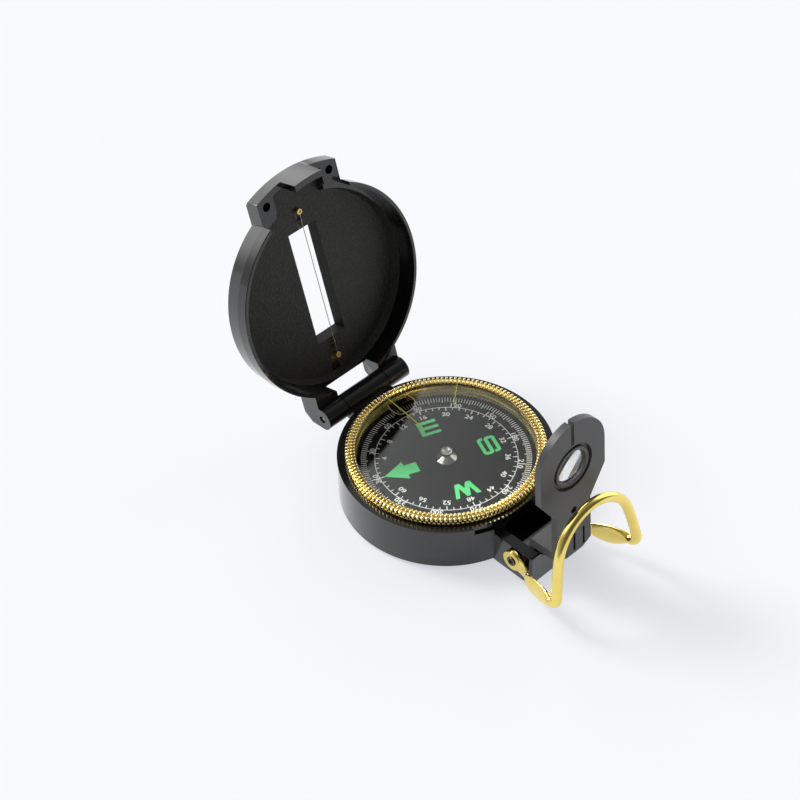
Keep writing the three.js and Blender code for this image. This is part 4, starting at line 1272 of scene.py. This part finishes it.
def standing_stations(foot):
    """Up the straight side, which meets the round top without a kink, and round to the middle."""
    rise = Vector((0, math.sin(LOOP_LEAN), math.cos(LOOP_LEAN)))
    normal = Vector((0, math.cos(LOOP_LEAN), -math.sin(LOOP_LEAN)))
    middle = LOOP_HEIGHT - ARCH - BEND * (1 + 2 * math.sin(LOOP_LEAN))
    first = math.acos(ARCH / math.hypot(SIDE_X, middle)) - math.atan2(middle, SIDE_X)
    touch_x, touch_height = ARCH * math.cos(first), middle + ARCH * math.sin(first)
    stations = []
    for share in (0.1, 0.2, 0.35, 0.5, 0.65, 0.8):
        x = SIDE_X + (touch_x - SIDE_X) * (share - 0.06)
        stations.append((foot + rise * touch_height * share + ACROSS * x, WIRE, WIRE, normal, ACROSS))
    for i in range(25):
        a = first + (math.pi / 2 - first) * i / 24
        centre = foot + rise * (middle + ARCH * math.sin(a)) + ACROSS * ARCH * math.cos(a)
        stations.append((centre, WIRE, WIRE, normal, ACROSS * math.cos(a) + rise * math.sin(a)))
    return stations


# %% [markdown]
# Sweeping by hand: a filled ring of points is extruded from station to station, and each new ring is scaled
# and turned to fit. Only half the path is worked out. The other half is its mirror image, met in the middle.

# %% Sweeping the wire
def swept_wire(name, stations, sides=28):
    """Extrudes a ring of points from station to station and moves each new ring onto its own station."""
    deselect()
    bpy.ops.mesh.primitive_circle_add(vertices=sides, radius=MM, fill_type="NGON", enter_editmode=True)
    obj = bpy.context.object
    obj.name = obj.data.name = name
    for index, (centre, height, thickness, tall, wide) in enumerate(stations):
        if index:
            bpy.ops.mesh.extrude_region_move()
        mesh = bmesh.from_edit_mesh(obj.data)
        ring = next(face for face in mesh.faces if face.select)
        for k, vertex in enumerate(ring.verts):
            a = FULL_TURN * k / sides
            vertex.co = (centre + tall * height * math.cos(a) + wide * thickness * math.sin(a)) * MM
        bmesh.update_edit_mesh(obj.data)
    leave()
    return obj


def mirror(vector):
    return Vector((-vector.x, vector.y, vector.z))


half_loop = blade_stations() + bend_stations()
corner = half_loop[-1][0]
half_loop += standing_stations(Vector((0, corner.y, corner.z)))
other_half = []
for centre, height, thickness, tall, wide in half_loop:
    other_half.append((mirror(centre), height, thickness, tall, mirror(wide)))
whole_loop = half_loop + other_half[-2::-1]
loop = swept_wire("thumb_loop", whole_loop)
edit(loop)
tidy_mesh()
print("stations along the loop:", len(whole_loop))

# %% [markdown]
# Each end of the wire is pressed into a round flat ear that sits on the axle. A short rod makes the ear, and
# one long rod cuts both holes, so that they are sure to be in line.

# %% The ears
def ear(side):
    """The left ear for a side of -1, and the right one for 1."""
    near, far = sorted((side * 9.6, side * 10.9))
    return rod("ear", 2.85, (near, AXLE_Y, AXLE_Z), (far, AXLE_Y, AXLE_Z), 72)


join_solid(loop, ear(-1), ear(1))
cut(loop, rod("ear bore", BORE, (-12, AXLE_Y, AXLE_Z), (12, AXLE_Y, AXLE_Z)))
soften(loop, 0.18, 50)
wear(loop, "thumb_loop", gold, "gold", "thumb_loop")

# %% [markdown]
# The pieces inside the capsule are hidden, and the frame's own solids are right for them, so they only get
# their finishes.

# %% Finishes for the frame's own pieces
inner_finishes = {
    "capsule_cup": capsule_black,
    "capsule_fill_plug": brass,
    "pivot_base": brass,
    "pivot_needle": steel,
    "dial_magnet": magnet_grey,
    "pivot_jewel": ruby,
    "capsule_gasket": gasket_rubber,
    "bezel_snap_ring": steel,
}
for name, finish in inner_finishes.items():
    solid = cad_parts[name]
    solid.data.materials.clear()
    solid.data.materials.append(finish)
print("frame pieces finished:", len(inner_finishes))

# %% [markdown]
# The studio floor has to be nearly white to the eye, and still show the object's soft shadow. So it is part
# glow and part matt paint wherever the camera, a mirror or a glass looks at it, and plain pale card for all
# other light. That way it doesn't light the object from below more than real card would.

# %% The floor
def floor_material():
    """A matt floor that looks pale to the camera, to mirrors and through glass."""
    material, tree, skin = blank_material("Studio floor")
    skin.inputs["Base Color"].default_value = (0.80, 0.80, 0.80, 1)
    skin.inputs["Roughness"].default_value = 0.9
    skin.inputs["Specular IOR Level"].default_value = 0.0
    path = node(tree, "ShaderNodeLightPath")
    paint = node(tree, "ShaderNodeBsdfDiffuse", {"Color": (0.34, 0.335, 0.325, 1)})
    glow = node(tree, "ShaderNodeEmission", {"Color": (0.565, 0.583, 0.628, 1)})
    pale = node(tree, "ShaderNodeAddShader")
    reflected = node(tree, "ShaderNodeMath", operation="MAXIMUM")
    shown = node(tree, "ShaderNodeMath", operation="MAXIMUM")
    seen = node(tree, "ShaderNodeMixShader")
    link(
        tree,
        (paint, "BSDF", pale, 0),
        (glow, "Emission", pale, 1),
        (path, "Is Glossy Ray", reflected, 0),
        (path, "Is Transmission Ray", reflected, 1),
        (path, "Is Camera Ray", shown, 0),
        (reflected, "Value", shown, 1),
        (shown, "Value", seen, "Fac"),
        (skin, "BSDF", seen, 1),
        (pale, "Shader", seen, 2),
        (seen, "Shader", tree.nodes["Material Output"], "Surface"),
    )
    return material


deselect()
bpy.ops.mesh.primitive_plane_add(size=6.0, location=(0, 0, 0))
floor = bpy.context.object
floor.name = "studio_floor"
floor.data.materials.append(floor_material())
print("floor:", floor.name)

# %% [markdown]
# The world is a grey room with three softboxes: behind, overhead and on the right. Glossy black and gold need
# them, because such finishes show only what they reflect. Area lamps could do this too. The boxes are drawn
# into the world instead, far away, so that they light the whole object alike. The camera sees a pale backdrop.

# %% What the room looks like
PALE = (0.913, 0.930, 0.965, 1)
ROOM_LOW, ROOM_HIGH = 0.55, 0.30
ROOM_LEVELS = ((0.30, 0.40), (0.50, 0.30), (0.70, 0.25))  # from the horizon at 0 to overhead at 1: how bright
FRONT_DIMMING = {"From Min": -0.75, "From Max": 0.15, "To Min": 0.35, "To Max": 1.0}
SOFTBOXES = [  # the way to the box, the cosine where it begins, the cosine where it is full, its strength
    ((0.10, 0.90, 0.42), 0.76, 0.94, 1.5),
    ((-0.30, 0.50, 0.81), 0.84, 0.97, 1.6),
    ((0.92, 0.05, 0.36), 0.80, 0.93, 1.3),
]


def room_level(tree, view):
    """How bright the room is in each direction, before the softboxes: brighter low down, dimmer in front."""
    parts = node(tree, "ShaderNodeSeparateXYZ")
    height = node(tree, "ShaderNodeValToRGB")
    stops = height.color_ramp.elements
    stops[0].color, stops[1].color = (*grey(ROOM_LOW), 1), (*grey(ROOM_HIGH), 1)
    for position, level in ROOM_LEVELS:
        stops.new(position).color = (*grey(level), 1)
    front = node(tree, "ShaderNodeMapRange", FRONT_DIMMING, interpolation_type="SMOOTHSTEP")
    dimmed = node(tree, "ShaderNodeMath", operation="MULTIPLY")
    link(
        tree,
        (view, "Generated", parts, "Vector"),
        (parts, "Z", height, "Fac"),
        (parts, "Y", front, "Value"),
        (height, "Color", dimmed, 0),
        (front, "Result", dimmed, 1),
    )
    return dimmed


# %% The softboxes
def add_softbox(tree, view, level, toward, begins, full, strength):
    """Adds one softbox to the brightness so far."""
    facing = node(tree, "ShaderNodeVectorMath", {1: Vector(toward).normalized()}, operation="DOT_PRODUCT")
    fade = {"From Min": begins, "From Max": full, "To Min": 0.0, "To Max": strength}
    panel = node(tree, "ShaderNodeMapRange", fade, interpolation_type="SMOOTHSTEP")
    total = node(tree, "ShaderNodeMath", operation="ADD")
    link(
        tree,
        (view, "Generated", facing, 0),
        (facing, "Value", panel, "Value"),
        (level, "Value", total, 0),
        (panel, "Result", total, 1),
    )
    return total


# %% The world
def soft_studio():
    """The room with its softboxes, and a pale backdrop for the camera alone."""
    world = bpy.data.worlds.new("Soft studio")
    world.use_nodes = True
    tree = world.node_tree
    view = node(tree, "ShaderNodeTexCoord")
    level = room_level(tree, view)
    for softbox in SOFTBOXES:
        level = add_softbox(tree, view, level, *softbox)
    path = node(tree, "ShaderNodeLightPath")
    room = tree.nodes["Background"]
    room.inputs["Color"].default_value = (1.0, 1.0, 1.0, 1)
    backdrop = node(tree, "ShaderNodeBackground", {"Color": PALE})
    either = node(tree, "ShaderNodeMixShader")
    link(
        tree,
        (level, "Value", room, "Strength"),
        (path, "Is Camera Ray", either, "Fac"),
        (room, "Background", either, 1),
        (backdrop, "Background", either, 2),
        (either, "Shader", tree.nodes["World Output"], "Surface"),
    )
    return world


scene = bpy.context.scene
scene.view_settings.view_transform = "Standard"
scene.world = soft_studio()
print("softboxes:", len(SOFTBOXES))

# %% [markdown]
# One lamp gives the shadow and the bright edges. It stands behind the object and a little to the left, as a
# window would. A sun lamp was chosen because its light is the same everywhere, and its wide angle makes the
# shadow's edge soft.

# %% The lamp
WINDOW_SHINES = Vector((0.25, -0.72, -0.645))
bpy.ops.object.light_add(type="SUN", rotation=WINDOW_SHINES.to_track_quat("-Z", "Y").to_euler())
window = bpy.context.object
window.name = "window_light"
window.data.energy = 1.7
window.data.angle = math.radians(20)
print("lamp:", window.name)

# %% [markdown]
# The camera stands where the photograph's did. Its place, its angles and its lens were worked out from the
# circles and edges in the photograph, so they aren't round numbers.

# %% The camera
bpy.ops.object.camera_add(
    location=(-0.28743, -0.29552, 0.43356),
    rotation=(math.radians(45.779), math.radians(1.442), math.radians(-44.003)),
)
camera = bpy.context.object
camera.data.lens = 101.88
camera.data.sensor_width = 36.0
scene.camera = camera
print("camera's lens in mm:", round(camera.data.lens, 2))
